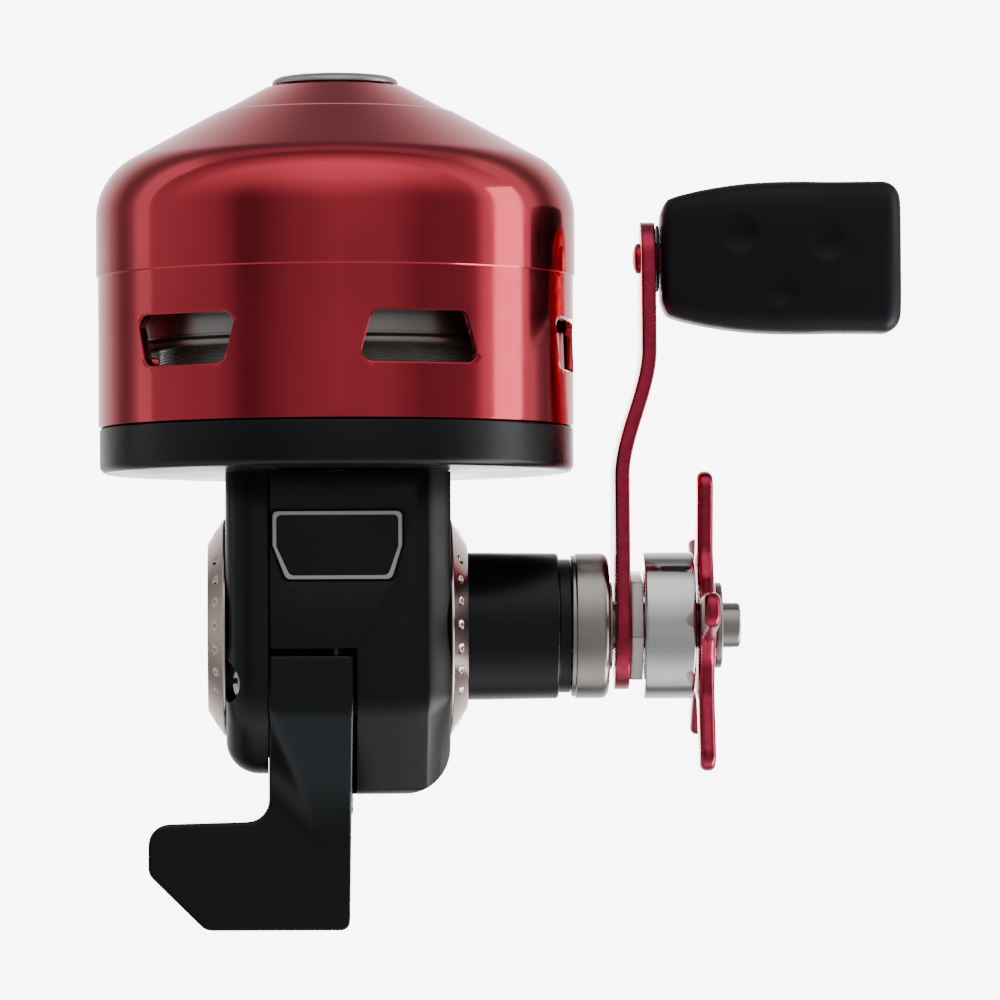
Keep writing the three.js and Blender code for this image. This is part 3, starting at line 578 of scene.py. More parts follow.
def side_outline(rear, shoulder_z, fillets, inset=0.0, front=40):
    """The body seen from the handle side: (y, z), z from the reel axis."""
    bottom_r, rear_r, crease_r = fillets
    half = BODY_HALF - inset
    return [
        (front, -half), (rear + inset, -half, bottom_r), (rear + inset, shoulder_z - inset / 2, rear_r),
        (-17.6 + inset / 2, half, crease_r), (front, half),
    ]


def side_prism(outline, x_from, x_to):
    return prism("tool", [(y, AXIS_Z + z) for y, z in filleted(outline, 6)], x_from, x_to)


PLATE_WAIST = 4.3
NAMEPLATE = [
    (-9.0, 8.95, 0.7), (-9.0, PLATE_WAIST, 0.6), (-7.2, -0.45, 0.9), (7.3, -0.45, 0.9),
    (8.7, PLATE_WAIST, 0.6), (8.7, 8.95, 0.7),
]


def grown(amount):
    """The nameplate's outline, moved outwards from its middle."""
    middle = Vector((-0.15, 4.1))
    out = []
    for x, y, radius in NAMEPLATE:
        along = 0.35 if y == PLATE_WAIST else 1
        x_new = x + amount * math.copysign(1, x - middle.x)
        y_new = y + amount * math.copysign(along, y - middle.y)
        out.append((x_new, y_new, radius))
    return out


HOUSING_SIDE = (housing_low.y, 4.8)
LEFT_SIDE = (left_low.y, 6.6)
SEAM = left_high.x
LEFT_SCREW_HEAD_X = -14.4


def build_housing():
    right, rear, front = housing_high.x, housing_low.y, housing_high.y
    edge = SEAM + GAP
    block = body_block("gear_case", side_outline(*HOUSING_SIDE, (7, 4, 6)), right, -20, 3.4, 8, 0.3)
    plan = [(edge, rear), (right, rear, 6.2), (right, 50), (edge, 50)]
    combine(block, prism("tool", filleted(plan, 12), 0, 80, "z"), "INTERSECT")
    combine(block, box_tool((-30, 30), (front, 60), (0, 80)))
    hollow = side_outline(*HOUSING_SIDE, (5, 3, 4), 2.6, front - 3)
    combine(block, side_prism(hollow, edge - 1, right - 3.5))
    lip = side_prism(side_outline(*LEFT_SIDE, (5, 5, 6), 2.15, front - 0.2), SEAM - 1.6, edge + 0.6)
    combine(lip, side_prism(side_outline(*LEFT_SIDE, (4, 4, 5), 3.0, front - 1.2), SEAM - 3, edge + 2))
    combine(block, lip, "UNION")
    combine(block, box_tool((-30, 2.5), (-60, -9.7), (AXIS_Z - 1, 80)))
    recess = filleted(grown(0.25), 5)
    combine(block, prism("tool", recess, BODY_TOP - 0.5, BODY_TOP + 5, "z"))
    combine(block, cylinder_tool(8.8, (CRANK_Y, AXIS_Z), right - 4, right + 4))
    combine(block, cylinder_tool(8.4, (0, AXIS_Z), front - 6, front + 3, "y"))
    edge_break(block, 0.2)
    piece(block, "frame", BLACK, "black_satin", "main_housing")


def build_left_cover():
    rear, front, left = left_low.y, left_high.y, left_low.x
    block = body_block("left_shell", side_outline(*LEFT_SIDE, (7, 7, 11)), left, 20, 4.5, 10)
    plan = [(left, rear, 4.2), (SEAM, rear), (SEAM, 50), (left, 50)]
    combine(block, prism("tool", filleted(plan, 12), 0, 80, "z"), "INTERSECT")
    combine(block, box_tool((-30, 30), (front, 60), (0, 80)))
    combine(block, side_prism(side_outline(*LEFT_SIDE, (5, 5, 7), 2.0, front - 0.05), left + 2.8, 30))
    for node in ("side_screw_top", "side_screw_rear", "side_screw_front"):
        spot = centre(node)
        combine(block, cylinder_tool(2.9, (spot.y, spot.z), left - 5, left + 2.0))
    edge_break(block, 0.2)
    piece(block, "frame", BLACK, "black_satin", "left_side_cover")


def build_nameplate():
    plate = prism("name_plate", filleted(NAMEPLATE, 6), BODY_TOP - 0.45, BODY_TOP + 0.1, "z")
    edge_break(plate, 0.08)
    piece(plate, "frame", BLACK, "black_satin", "nameplate")
    outer = filleted(grown(-0.12), 6)
    inner = filleted(grown(-0.6), 6)
    loops = ((outer, 0.05), (outer, 0.17), (inner, 0.17), (inner, 0.05))
    verts = [(x, y, BODY_TOP + height) for loop, height in loops for x, y in loop]
    border = new_object("name_plate_border", verts, ring_faces(len(loops), len(outer)))
    piece(border, "frame", SILVER_PRINT, "steel")


def slotted_screw(name, node, axis, head_end):
    """A domed head with a straight slot, which faces the low end of its axis."""
    low, high = box_mm(node)
    spot = (low + high) / 2
    radius = ((high.z - low.z) if axis == "x" else (high.x - low.x)) / 2 + 0.15
    length = (high.x - low.x) if axis == "x" else (high.z - low.z)
    rise, depth = 0.85, 1.0
    rows = dome_points(radius, 0.0, -rise) + [(radius, -depth), (0.9, -depth), (0.9, -length)]
    verts = []
    segments = 48
    for r, h in rows:
        for j in range(segments):
            angle = 2 * math.pi * j / segments
            verts.append((r * math.cos(angle), r * math.sin(angle), h))
    faces = ring_faces(len(rows), segments, closed_rows=False)
    verts += [(0, 0, 0), (0, 0, -length)]
    last = (len(rows) - 1) * segments
    faces += [(len(verts) - 2, (j + 1) % segments, j) for j in range(segments)]
    faces += [(len(verts) - 1, last + j, last + (j + 1) % segments) for j in range(segments)]
    screw = new_object(name, verts, faces, 40)
    combine(screw, box_tool((-5, 5), (-0.4, 0.4), (-0.7, 2)))
    shade(screw, 40)
    turn = {
        "x": Matrix.Rotation(math.radians(-90), 4, "Y"),
        "z": Matrix.Rotation(math.radians(180), 4, "X"),
    }[axis]
    if axis == "x":
        place = Vector((head_end, spot.y, spot.z))
    else:
        place = Vector((spot.x, spot.y, head_end))
    screw.data.transform(Matrix.Translation(place * MM) @ turn)
    piece(screw, "frame", SCREW_STEEL, "steel", node)


# ---------- trim rings, neck, collar and other turned pieces on the crank axis ----------
BORE_R = 3.4


def build_trim_ring(name, node, side):
    """A chamfered ring with three groups of seven small dimples round its chamfer."""
    low, high = box_mm(node)
    near, far = (housing_high.x, high.x) if side > 0 else (-left_low.x, -low.x)
    outer = (high.z - low.z) / 2
    chamfer_low, chamfer_high = (outer - 0.05, near + 0.35), (11.6, far - 0.05)
    profile = [(10.5, near), (outer - 0.15, near), (outer, near + 0.12), (outer, near + 0.28)]
    profile += spaced(chamfer_low, chamfer_high, 26) + [chamfer_high]
    profile += [(11.45, far), (10.6, far), (10.5, far - 0.1)]
    segments = 660
    verts = []
    dimple_r, dimple_depth, ring_r = 0.62, 0.3, 13.3
    angles = [math.radians(120 * g + 14 * (k - 3) + 90) for g in range(3) for k in range(7)]
    direction = Vector((chamfer_high[0] - chamfer_low[0], chamfer_high[1] - chamfer_low[1])).normalized()
    normal = Vector((direction.y, -direction.x))
    ring_x = chamfer_low[1] + (chamfer_low[0] - ring_r) / (chamfer_low[0] - chamfer_high[0]) * (
        chamfer_high[1] - chamfer_low[1]
    )
    for r, x in profile:
        on_slope = chamfer_high[0] <= r <= chamfer_low[0] and near + 0.3 < x
        for j in range(segments):
            angle = 2 * math.pi * j / segments
            shift = 0.0
            if on_slope:
                closest = min(abs((angle - a + math.pi) % (2 * math.pi) - math.pi) for a in angles)
                away = math.hypot(closest * ring_r, math.hypot(r - ring_r, x - ring_x))
                if away < dimple_r:
                    shift = dimple_depth * (1 - (away / dimple_r) ** 2) ** 0.7
            rr, xx = r - normal.x * shift, x - normal.y * shift
            verts.append((side * xx, CRANK_Y + rr * math.cos(angle), AXIS_Z + rr * math.sin(angle)))
    ring = new_object(name, verts, ring_faces(len(profile), segments), 30)
    piece(ring, "frame", ROSE, "rose_metal", node)


def turned_piece(name, node, corners, material, slot, body, segments=128, y=CRANK_Y):
    obj = revolve(name, filleted(corners), "x", segments, y)
    return piece(obj, body, material, slot, node)


def plain_ring(node, inner, edge):
    """Corners of a washer as wide and thick as its CAD node, with its edges broken."""
    low, high = box_mm(node)
    outer = (high.z - low.z) / 2
    return [(inner, low.x), (outer, low.x, edge), (outer, high.x, edge), (inner, high.x)]


def build_crank_line():
    neck_low = box_mm("crank_bearing_housing")[0]
    neck_end = box_mm("collar")[0].x - 0.1
    turned_piece("crank_neck", "crank_bearing_housing", [
        (5, neck_low.x), (8.4, neck_low.x), (8.4, 15.6), (10.2, 15.6, 0.2), (10.0, 30.25, 0.45),
        (9.2, 30.4, 0.1), (9.2, neck_end, 0.1), (5, neck_end),
    ], BLACK, "black_satin", "frame")
    turned_piece("left_disc", "left_inlay", [
        (3, -17.05), (3, -15.6), (10.2, -15.6), (10.2, -17.2, 0.35), (7.6, -17.2, 0.25), (7.2, -16.8, 0.25),
        (4, -16.8, 0.2), (3.4, -17.05, 0.2),
    ], BLACK, "black_satin", "frame")
    low, high = box_mm("collar")
    turned_piece("crank_collar", "collar", [
        (BORE_R, low.x), (9.75, low.x, 0.2), (9.75, low.x + 0.55, 0.1), (10, low.x + 0.7, 0.1),
        (10, 37.2, 1.1), (6, 37.2, 0.2), (6, high.x, 0.1), (BORE_R, high.x),
    ], NICKEL, "steel", "crank")
    low, high = box_mm("star_hub")
    turned_piece("drag_hub", "star_hub", [
        (BORE_R, low.x), (10.1, low.x, 0.35), (10.1, high.x, 0.5), (8.4, high.x, 0.2), (BORE_R, high.x),
    ], BRIGHT, "bright_aluminium", "star", 160)
    end_ring = plain_ring("end_nut", BORE_R, 0.25)
    turned_piece("shaft_end_nut", "end_nut", end_ring, NICKEL, "steel", "crank")
    seat_ring = plain_ring("knob_washer", 2.3, 0.1)
    turned_piece("knob_seat_washer", "knob_washer", seat_ring, RUBBER, "black_rubber", "crank", y=KNOB_Y)


def build_crank_shaft():
    low, high = box_mm("crank_shaft")
    end = high.x
    outside = filleted([
        (3, low.x, 0.2), (3, 10.3), (9, 10.3, 0.2), (9, 11.2, 0.2), (3.1, 11.2), (3.1, end, 0.45),
        (2.2, end), (2.2, low.x),
    ])
    profile = [(0.0, low.x)] + outside[:-1] + [(0.0, end)]
    shaft = revolve("crank_spindle", profile, "x", 96, CRANK_Y)
    slot = box_tool((end - 1.2, end + 1), (CRANK_Y - 5, CRANK_Y + 5), (AXIS_Z - 0.5, AXIS_Z + 0.5))
    combine(shaft, slot)
    shade(shaft, 35)
    piece(shaft, "crank", NICKEL, "steel", "crank_shaft")


def build_hex_nut():
    low, high = box_mm("handle_nut")
    corner_r = 7.9
    shape = []
    for i in range(6):
        angle = math.radians(60 * i - 13)
        shape.append((CRANK_Y + corner_r * math.sin(angle), AXIS_Z + corner_r * math.cos(angle)))
    nut = prism("arm_nut", shape, low.x - 0.22, high.x + 0.16)
    combine(nut, cylinder_tool(BORE_R, (CRANK_Y, AXIS_Z), low.x - 2, high.x + 2))
    edge_break(nut, 0.18)
    piece(nut, "crank", NICKEL, "steel", "handle_nut")


def build_star():
    low, high = box_mm("star_wheel")
    arms, first = 5, math.radians(13)
    arm = [(11.2, -2.9, 3.2), (21.5, -2.3, 2.2), (21.5, 2.3, 2.2), (11.2, 2.9, 3.2)]
    corners = []
    for i in range(arms):
        turn = first + 2 * math.pi * i / arms
        for out, aside, radius in arm:
            y = out * math.cos(turn) - aside * math.sin(turn)
            z = out * math.sin(turn) + aside * math.cos(turn)
            corners.append((y, z, radius))
        valley = turn + math.pi / arms
        corners.append((9.7 * math.cos(valley), 9.7 * math.sin(valley), 5))
    shape = [(CRANK_Y + y, AXIS_Z + z) for y, z in filleted(corners, 8)]
    star = prism("drag_star", shape, low.x, high.x)
    combine(star, cylinder_tool(BORE_R, (CRANK_Y, AXIS_Z), low.x - 2, high.x + 2))
    edge_break(star, 0.9, 5, 60)
    piece(star, "star", CRIMSON, "crimson_anodised", "star_wheel")


# ---------- handle arm and knob ----------
ARM_OFFSET = 3.9


def build_arm():
    """A flat strip, wide at the crank and narrow at the knob, with one S-bend and rounded edges."""
    thick, base = 2.0, box_mm("handle_arm")[0].x
    boss, tip, throw = 8.8, 5.0, KNOB_Y - CRANK_Y
    lean = math.asin((boss - tip) / throw)
    edge = 0.42

    def half_width(s):
        if s < boss_end:
            return math.sqrt(max(boss**2 - s**2, 0))
        if s > tip_end:
            return math.sqrt(max(tip**2 - (s - throw) ** 2, 0))
        return boss * math.cos(lean) - (s - boss_end) * math.tan(lean)

    def rise(s):
        return ARM_OFFSET * smooth((s - 20.1) / 17.9)

    boss_end, tip_end = boss * math.sin(lean), throw + tip * math.sin(lean)
    quarter = math.pi / 2
    first = [boss_end - (boss + boss_end) * math.cos(quarter * i / 20) for i in range(20)]
    last = [tip_end + (throw + tip - tip_end) * math.sin(quarter * i / 16) for i in range(1, 17)]
    middle = [first[-1] + (throw - first[-1]) * i / 60 for i in range(1, 61)]
    sections = []
    corner = [(math.cos(math.radians(a)), math.sin(math.radians(a))) for a in (0, 30, 60, 90)]
    for s in first + middle + last:
        half = max(half_width(s), 0.02)
        round_r = min(edge, half)
        inset = edge - math.sqrt(max(edge**2 - max(edge - half, 0) ** 2, 0))
        low, high = inset, thick - inset
        section = [(half - round_r + round_r * c, high - round_r + round_r * k) for c, k in corner]
        section += [(-half + round_r - round_r * c, high - round_r + round_r * k) for c, k in corner[::-1]]
        section += [(-half + round_r - round_r * c, low + round_r - round_r * k) for c, k in corner]
        section += [(half - round_r + round_r * c, low + round_r - round_r * k) for c, k in corner[::-1]]
        slope = (rise(s + 0.05) - rise(s - 0.05)) / 0.1
        lengthen = math.sqrt(1 + slope**2)
        surface = base + rise(s) + thick / 2
        sections.append([
            (surface + (x - thick / 2) * lengthen, CRANK_Y + s, AXIS_Z + z) for z, x in section
        ])
    arm = loft("crank_arm", sections, 40)
    combine(arm, cylinder_tool(BORE_R, (CRANK_Y, AXIS_Z), base - 3, base + 5))
    combine(arm, cylinder_tool(1.6, (KNOB_Y, AXIS_Z), base - 3, base + 9))
    shade(arm, 40)
    piece(arm, "crank", CRIMSON, "crimson_anodised", "handle_arm")


def build_rivet():
    low, high = box_mm("knob_spindle")
    arm_face = box_mm("handle_arm")[0].x + ARM_OFFSET
    head_r = 2.1
    profile = [(0.0, low.x), *dome_points(head_r, low.x, 0.7)]
    profile += [(head_r, arm_face - 0.02), (1.3, arm_face - 0.02), (1.3, 44), (2, 44)]
    profile += [(2, high.x - 0.3), (1.7, high.x), (0.0, high.x)]
    rivet = revolve("knob_rivet", profile, "x", 64, KNOB_Y)
    piece(rivet, "crank", CRIMSON, "crimson_anodised", "knob_spindle")


def smooth_curve(points, x):
    """Monotone cubic through (x, value) points."""
    for i in range(len(points) - 1):
        (x0, v0), (x1, v1) = points[i], points[i + 1]
        if x0 <= x <= x1:
            before = points[i - 1] if i else points[i]
            after = points[i + 2] if i + 2 < len(points) else points[i + 1]
            m0 = (v1 - before[1]) / (x1 - before[0])
            m1 = (after[1] - v0) / (after[0] - x0)
            t, span = (x - x0) / (x1 - x0), x1 - x0
            return (
                (2 * t**3 - 3 * t**2 + 1) * v0 + (t**3 - 2 * t**2 + t) * span * m0
                + (3 * t**2 - 2 * t**3) * v1 + (t**3 - t**2) * span * m1
            )
    return points[-1][1]


def knob_section(across, side):
    """A unit rounded rectangle, its points spread evenly along each of its flats."""
    power = 4.6
    corner = 0.5 ** (1 / power)

    def other(value):
        return (1 - abs(value) ** power) ** (1 / power)

    flat = [corner * (1 - 2 * i / across) for i in range(across)]
    upright = [corner * (1 - 2 * i / side) for i in range(side)]
    return (
        [(u, other(u)) for u in flat] + [(-other(v), v) for v in upright]
        + [(-u, -other(u)) for u in flat] + [(other(v), -v) for v in upright]
    )


def build_knob():
    """A paddle lofted from rounded rectangles, with three shallow thumb dimples on each face."""
    near, far = knob_low.x, knob_high.x
    half_thick = (knob_high.z - knob_low.z) / 2
    width = [
        (near, 7.0), (near + 0.9, 8.0), (49.4, 9.1), (53.3, 9.8), (57.2, 10.25), (62.3, 10.45),
        (68.7, 10.4), (far, 10.5),
    ]
    near_r, far_r = 1.3, 2.6
    near_turns = [math.pi / 2 * i / 8 for i in range(9)]
    far_turns = [math.pi / 2 * i / 12 for i in range(13)]
    straight = far - near - near_r - far_r
    stations = [(near + near_r * (1 - math.cos(a)), near_r * (1 - math.sin(a))) for a in near_turns]
    stations += [(near + near_r + straight * i / 64, 0.0) for i in range(1, 64)]
    stations += [(far - far_r + far_r * math.sin(a), far_r * (1 - math.cos(a))) for a in far_turns]
    dimples = [(55.4, 2.9), (67.4, 1.9), (61.0, -4.75)]
    dimple_r, dimple_depth = 2.7, 0.7
    crown_middle, crown_reach, crown_drop = 63, 18.5, 0.16
    sections = []
    for x, inset in stations:
        half = smooth_curve(width, x) - inset
        crown = half_thick * (1 - crown_drop * ((x - crown_middle) / crown_reach) ** 2) - inset
        section = []
        for u, v in knob_section(44, 24):
            y, z = half * u, crown * v
            for dx, dy in dimples:
                away = math.hypot(x - dx, y - dy) / dimple_r
                if away < 1 and abs(v) > 0.8:
                    z -= math.copysign(dimple_depth * (1 - away**2) ** 1.2, v)
            section.append((x, KNOB_Y + y, AXIS_Z + z))
        sections.append(section)
    knob = loft("knob_paddle", sections, 60)
    combine(knob, cylinder_tool(2.3, (KNOB_Y, AXIS_Z), near - 3, crown_middle))
    shade(knob, 50)
    piece(knob, "knob", RUBBER, "knob_rubber", "knob_grip")


# ---------- thumb lever ----------
def soft_max(a, b, k):
    h = max(k - abs(a - b), 0) / k
    return max(a, b) + h * h * k / 4


def soft_min(a, b, k):
    return -soft_max(-a, -b, k)


LEVER_TOP, PAD_TOP, PAD_BOTTOM = 17.4, 7.2, 2.7
CREASE_Y, LEVER_FRONT = -18.0, -10.6
LEVER_LEFT = SEAM + 0.04
LEVER_SLOPE = (LEVER_TOP - PAD_TOP) / 15.8
RIDGE_START, RIDGE_END = (-9.2, -17.8), (-1.4, -37.3)


def lever_height(x, y):
    """The lever's upper surface: flat bar, slope, a diagonal ridge and the scoop beside it."""
    slope = LEVER_TOP - LEVER_SLOPE * (CREASE_Y - y)
    bar = soft_min(LEVER_TOP, slope, 0.8)
    lead = (RIDGE_END[0] - RIDGE_START[0]) / (RIDGE_START[1] - RIDGE_END[1])
    ridge_x = RIDGE_START[0] + (RIDGE_START[1] - y) * lead
    side = (ridge_x - x) * math.cos(math.atan(lead))
    scoop = slope - 1.15 * side + 0.2
    shaped = soft_min(bar, scoop, 0.9)
    return soft_max(shaped, PAD_TOP, 4.2)


def lever_floor(y):
    """The lever's underside: level under the bar, a steep drop, then a slow slope to the pad."""
    bar_end, bar_floor = -15.6, 15.6
    drop_end, drop_floor = -21.4, 9.4
    if y > bar_end:
        return bar_floor
    if y > drop_end:
        return soft_max(bar_floor - (bar_end - y) * 2.2, drop_floor, 0.5)
    return max(drop_floor - (drop_end - y) * 0.66, PAD_BOTTOM)


def build_lever():
    low, high = box_mm("thumb_lever")
    cell = 0.4
    columns = int((high.x - low.x) / cell) + 3
    rows = int((LEVER_FRONT - low.y) / cell) + 3
    xs = [low.x - cell / 2 + j * cell for j in range(columns)]
    ys = [low.y - cell / 2 + i * cell for i in range(rows)]
    verts = [(x, y, AXIS_Z + lever_height(x, y)) for y in ys for x in xs]
    verts += [(x, y, AXIS_Z + lever_floor(y)) for y in ys for x in xs]
    faces = []
    half = rows * columns

    def at(i, j, under=0):
        return under * half + i * columns + j

    for i in range(rows - 1):
        for j in range(columns - 1):
            faces.append((at(i, j), at(i, j + 1), at(i + 1, j + 1), at(i + 1, j)))
            faces.append((at(i, j, 1), at(i + 1, j, 1), at(i + 1, j + 1, 1), at(i, j + 1, 1)))
    last = columns - 1
    for i in range(rows - 1):
        faces.append((at(i, 0), at(i + 1, 0), at(i + 1, 0, 1), at(i, 0, 1)))
        faces.append((at(i, last), at(i, last, 1), at(i + 1, last, 1), at(i + 1, last)))
    for j in range(columns - 1):
        faces.append((at(0, j), at(0, j, 1), at(0, j + 1, 1), at(0, j + 1)))
        faces.append((at(rows - 1, j), at(rows - 1, j + 1), at(rows - 1, j + 1, 1), at(rows - 1, j, 1)))
    lever = new_object("thumb_bar", verts, faces)
    plan = filleted([
        (2.1, LEVER_FRONT, 0.5), (LEVER_LEFT, LEVER_FRONT, 0.5), (LEVER_LEFT, -33.1, 3.0),
        (-26.0, -33.5, 2.9), (-26.0, -40.3, 1.6), (-18.2, -48.0, 1.8), (1.5, -48.05, 1.2),
    ], 8)
    combine(lever, prism("tool", plan, 0, 80, "z"), "INTERSECT")
    pivot = centre("lever_pivot_pin")
    arm = box_tool((-2.6, 1.9), (-19.2, -16.2), (AXIS_Z - 2.3, AXIS_Z + 11.5))
    combine(lever, arm, "UNION")
    start, end = math.radians(207), math.radians(243)
    pin = (pivot.y, pivot.z)
    skirt = arc_points(pin, 16.5, start, end, 16) + arc_points(pin, 15.6, end, start, 16)
    combine(lever, prism("tool", skirt, -9.05, 2.05), "UNION")
    combine(lever, cylinder_tool(1.55, pin, -20, 20))
    combine(lever, cylinder_tool(3.15, pin, -20, -5.6))
    remesh(lever, 0.2, 22)
    piece(lever, "lever", LEVER_BLACK, "black_lever", "thumb_lever")


# ---------- rod foot ----------
def build_foot():
    low, high = box_mm("rod_foot")
    half, width, end_width, tip = high.y, high.x, 4.5, 3
    stem_y, swell_half, edge_height, swell_height = -1.5, 24, 1.6, 3.0
    columns, rows = 40, 96
    sections = []
    for i in range(rows + 1):
        t = -1 + 2 * i / rows
        y = half * math.sin(math.pi / 2 * t)
        reach = abs(y) / half
        wide = end_width + (width - end_width) * math.cos(math.pi / 2 * reach) ** 0.9
        wide *= math.sqrt(max(1 - max((abs(y) - half + tip) / tip, 0) ** 2, 0.0009))
        swell = max(math.cos(math.pi / 2 * min(abs(y - stem_y) / swell_half, 1)), 0)
        rise = edge_height + swell_height * swell**1.5
        section = []
        for j in range(columns):
            angle = 2 * math.pi * j / columns
            c, s = math.cos(angle), math.sin(angle)
            across = math.copysign(abs(c) ** 0.45, c)
            section.append((wide * across, y, rise * s**0.6 if s > 0 else 0.0))
        sections.append(section)
    foot = loft("seat_foot", sections, 50)
    stem = [(-4, -12, 3.4), (4, -12, 3.4), (4, 8, 3.4), (-4, 8, 3.4)]
    combine(foot, prism("tool", filleted(stem, 8), 1, 19, "z"), "UNION")
    bed = [(-7, -19, 3), (7, -19, 3), (7, 14, 3), (-7, 14, 3)]
    combine(foot, prism("tool", filleted(bed, 8), 18.2, high.z, "z"), "UNION")
    for node in ("foot_screw_front", "foot_screw_rear"):
        combine(foot, cylinder_tool(1.6, (0, centre(node).y), 17, 25, "z"))
    remesh(foot, 0.22, 9)
    piece(foot, "frame", BLACK, "black_satin", "rod_foot")


# ---------- the shaft's return spring, squeezed between the pinion and the front bearing ----------
def build_return_spring():
    low, high = box_mm("shaft_return_spring")
    wire, turns, around, per_turn = 0.24, 3, 12, 48
    coil_r = (high.x - low.x) / 2 - wire
    sections = []
    steps = turns * per_turn
    for i in range(steps + 1):
        angle = 2 * math.pi * i / per_turn
        station = low.y + wire + (high.y - low.y - 2 * wire) * i / steps
        circle = arc_points((coil_r, station), wire, 0, 2 * math.pi, around)[:-1]
        sections.append([(r * math.sin(angle), y, AXIS_Z + r * math.cos(angle)) for r, y in circle])
    spring = loft("return_spring", sections, 60)
    piece(spring, "frame", STEEL, "steel", "shaft_return_spring")
    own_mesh(spring)


# ---------- hidden works keep their CAD shape and get their own finish ----------
def dress_cad_nodes():
    finishes = {
        "steel": STEEL, "brass": BRASS, "fibre": FIBRE, "grey_aluminium": GREY, "black_satin": BLACK,
        "red_anodised": RED, "crimson_anodised": CRIMSON, "rose_metal": ROSE, "bright_aluminium": BRIGHT,
        "line": LINE, "knob_rubber": RUBBER, "black_rubber": RUBBER, "black_lever": LEVER_BLACK,
    }
    slots = {part["node"]: part["material_slot"] for part in frame["record"]["subparts"]}
    for name, obj in frame["nodes"].items():
        for holder in obj.material_slots:
            holder.material = DARK_STEEL if name == "lever_pivot_pin" else finishes[slots[name]]


# ---------- studio ----------
# Brightness of the soft surroundings by degrees from overhead: round the reel axis, towards the
# handle, and from the rear over the top to the nose. Overhead is dim, the right and nose sides
# hold the wide softboxes, and the white table shows from below.
ROUND_REEL_AXIS = [
    (-180, 1.0), (-150, 0.5), (-120, 0.4), (-90, 0.37), (-60, 0.31), (-52, 0.21), (-46, 0.11),
    (-40, 0.12), (-20, 0.26), (0, 0.32), (24, 0.32), (41, 0.17), (66, 0.21), (70, 0.28), (75, 0.75),
    (86, 0.9), (102, 0.9), (111, 0.4), (127, 0.2), (140, 0.4), (158, 1.0), (180, 1.0),
]
REAR_TO_NOSE = [
    (-180, 1.0), (-150, 0.6), (-130, 0.5), (-102, 0.8), (-87, 0.95), (-71, 0.75), (-60, 0.55),
    (-45, 0.33), (-30, 0.28), (0, 0.33), (8, 0.36), (16, 0.46), (27, 0.56), (46, 0.85), (72, 0.95),
    (84, 0.5), (95, 0.18), (123, 0.15), (150, 0.6), (180, 1.0),
]
FLOOR_Z = -0.70
FLOOR_HALF = 4.0
# The painted pool of light: the table's emission, by metres from the middle of the bright pool below the
# reel.
PAINTED_POOL_CENTRE = (0.047, 0.037)
PAINTED_POOL_GLOW = 8.0
PAINTED_LIGHT_POOL = [
    (0.0, PAINTED_POOL_GLOW), (0.172, PAINTED_POOL_GLOW), (0.20, 1.6), (0.40, 0.95), (0.80, 0.3), (1.08, 0.05),
    (1.2, 0.05), (1.35, 0.05), (1.7, 0.2), (2.1, 0.55), (FLOOR_HALF, 0.6),
]


def math_node(tree, operation, first, second=None):
    node = add_node(tree, "Math")
    node.operation = operation
    for socket, value in zip(node.inputs, (first, second)):
        if value is None:
            continue
        if isinstance(value, (int, float)):
            socket.default_value = value
        else:
            tree.links.new(value, socket)
    return node.outputs[0]


def value_ramp(tree, position, stops):
    """A grey ramp through (position, value) stops that start at 0 and end at 1."""
    ramp = add_node(tree, "ValToRGB")
    elements = ramp.color_ramp.elements
    elements[0].color = (stops[0][1],) * 3 + (1,)
    elements[1].color = (stops[-1][1],) * 3 + (1,)
    for place, value in stops[1:-1]:
        elements.new(place).color = (value, value, value, 1)
    tree.links.new(position, ramp.inputs["Fac"])
    return ramp.outputs["Color"]


def brightness_ramp(tree, side, up, stops):
    """The stops' brightness at the angle from overhead towards one side."""
    angle = math_node(tree, "ARCTAN2", side, up)
    position = math_node(tree, "MULTIPLY_ADD", angle, 0.5 / math.pi)
    position.node.inputs[2].default_value = 0.5
    return value_ramp(tree, position, [((degrees + 180) / 360, value) for degrees, value in stops])


def build_surroundings():
    world = bpy.data.worlds.new("studio")
    bpy.context.scene.world = world
    world.use_nodes = True
    tree = world.node_tree
    tree.nodes.clear()
    out = add_node(tree, "OutputWorld")
    back = add_node(tree, "Background")
    where = add_node(tree, "TexCoord")
    split = add_node(tree, "SeparateXYZ")
    tree.links.new(where.outputs["Generated"], split.inputs["Vector"])
    x, y, z = split.outputs
    sideways = brightness_ramp(tree, x, z, ROUND_REEL_AXIS)
    lengthways = brightness_ramp(tree, y, z, REAR_TO_NOSE)
    x_squared, y_squared = math_node(tree, "MULTIPLY", x, x), math_node(tree, "MULTIPLY", y, y)
    level = math_node(tree, "ADD", math_node(tree, "ADD", x_squared, y_squared), 1e-4)
    mix = add_node(tree, "Mix")
    mix.data_type = "RGBA"
    tree.links.new(math_node(tree, "DIVIDE", y_squared, level), mix.inputs["Factor"])
    tree.links.new(sideways, mix.inputs[6])
    tree.links.new(lengthways, mix.inputs[7])
    tree.links.new(mix.outputs[2], back.inputs["Color"])
    tree.links.new(back.outputs["Background"], out.inputs["Surface"])


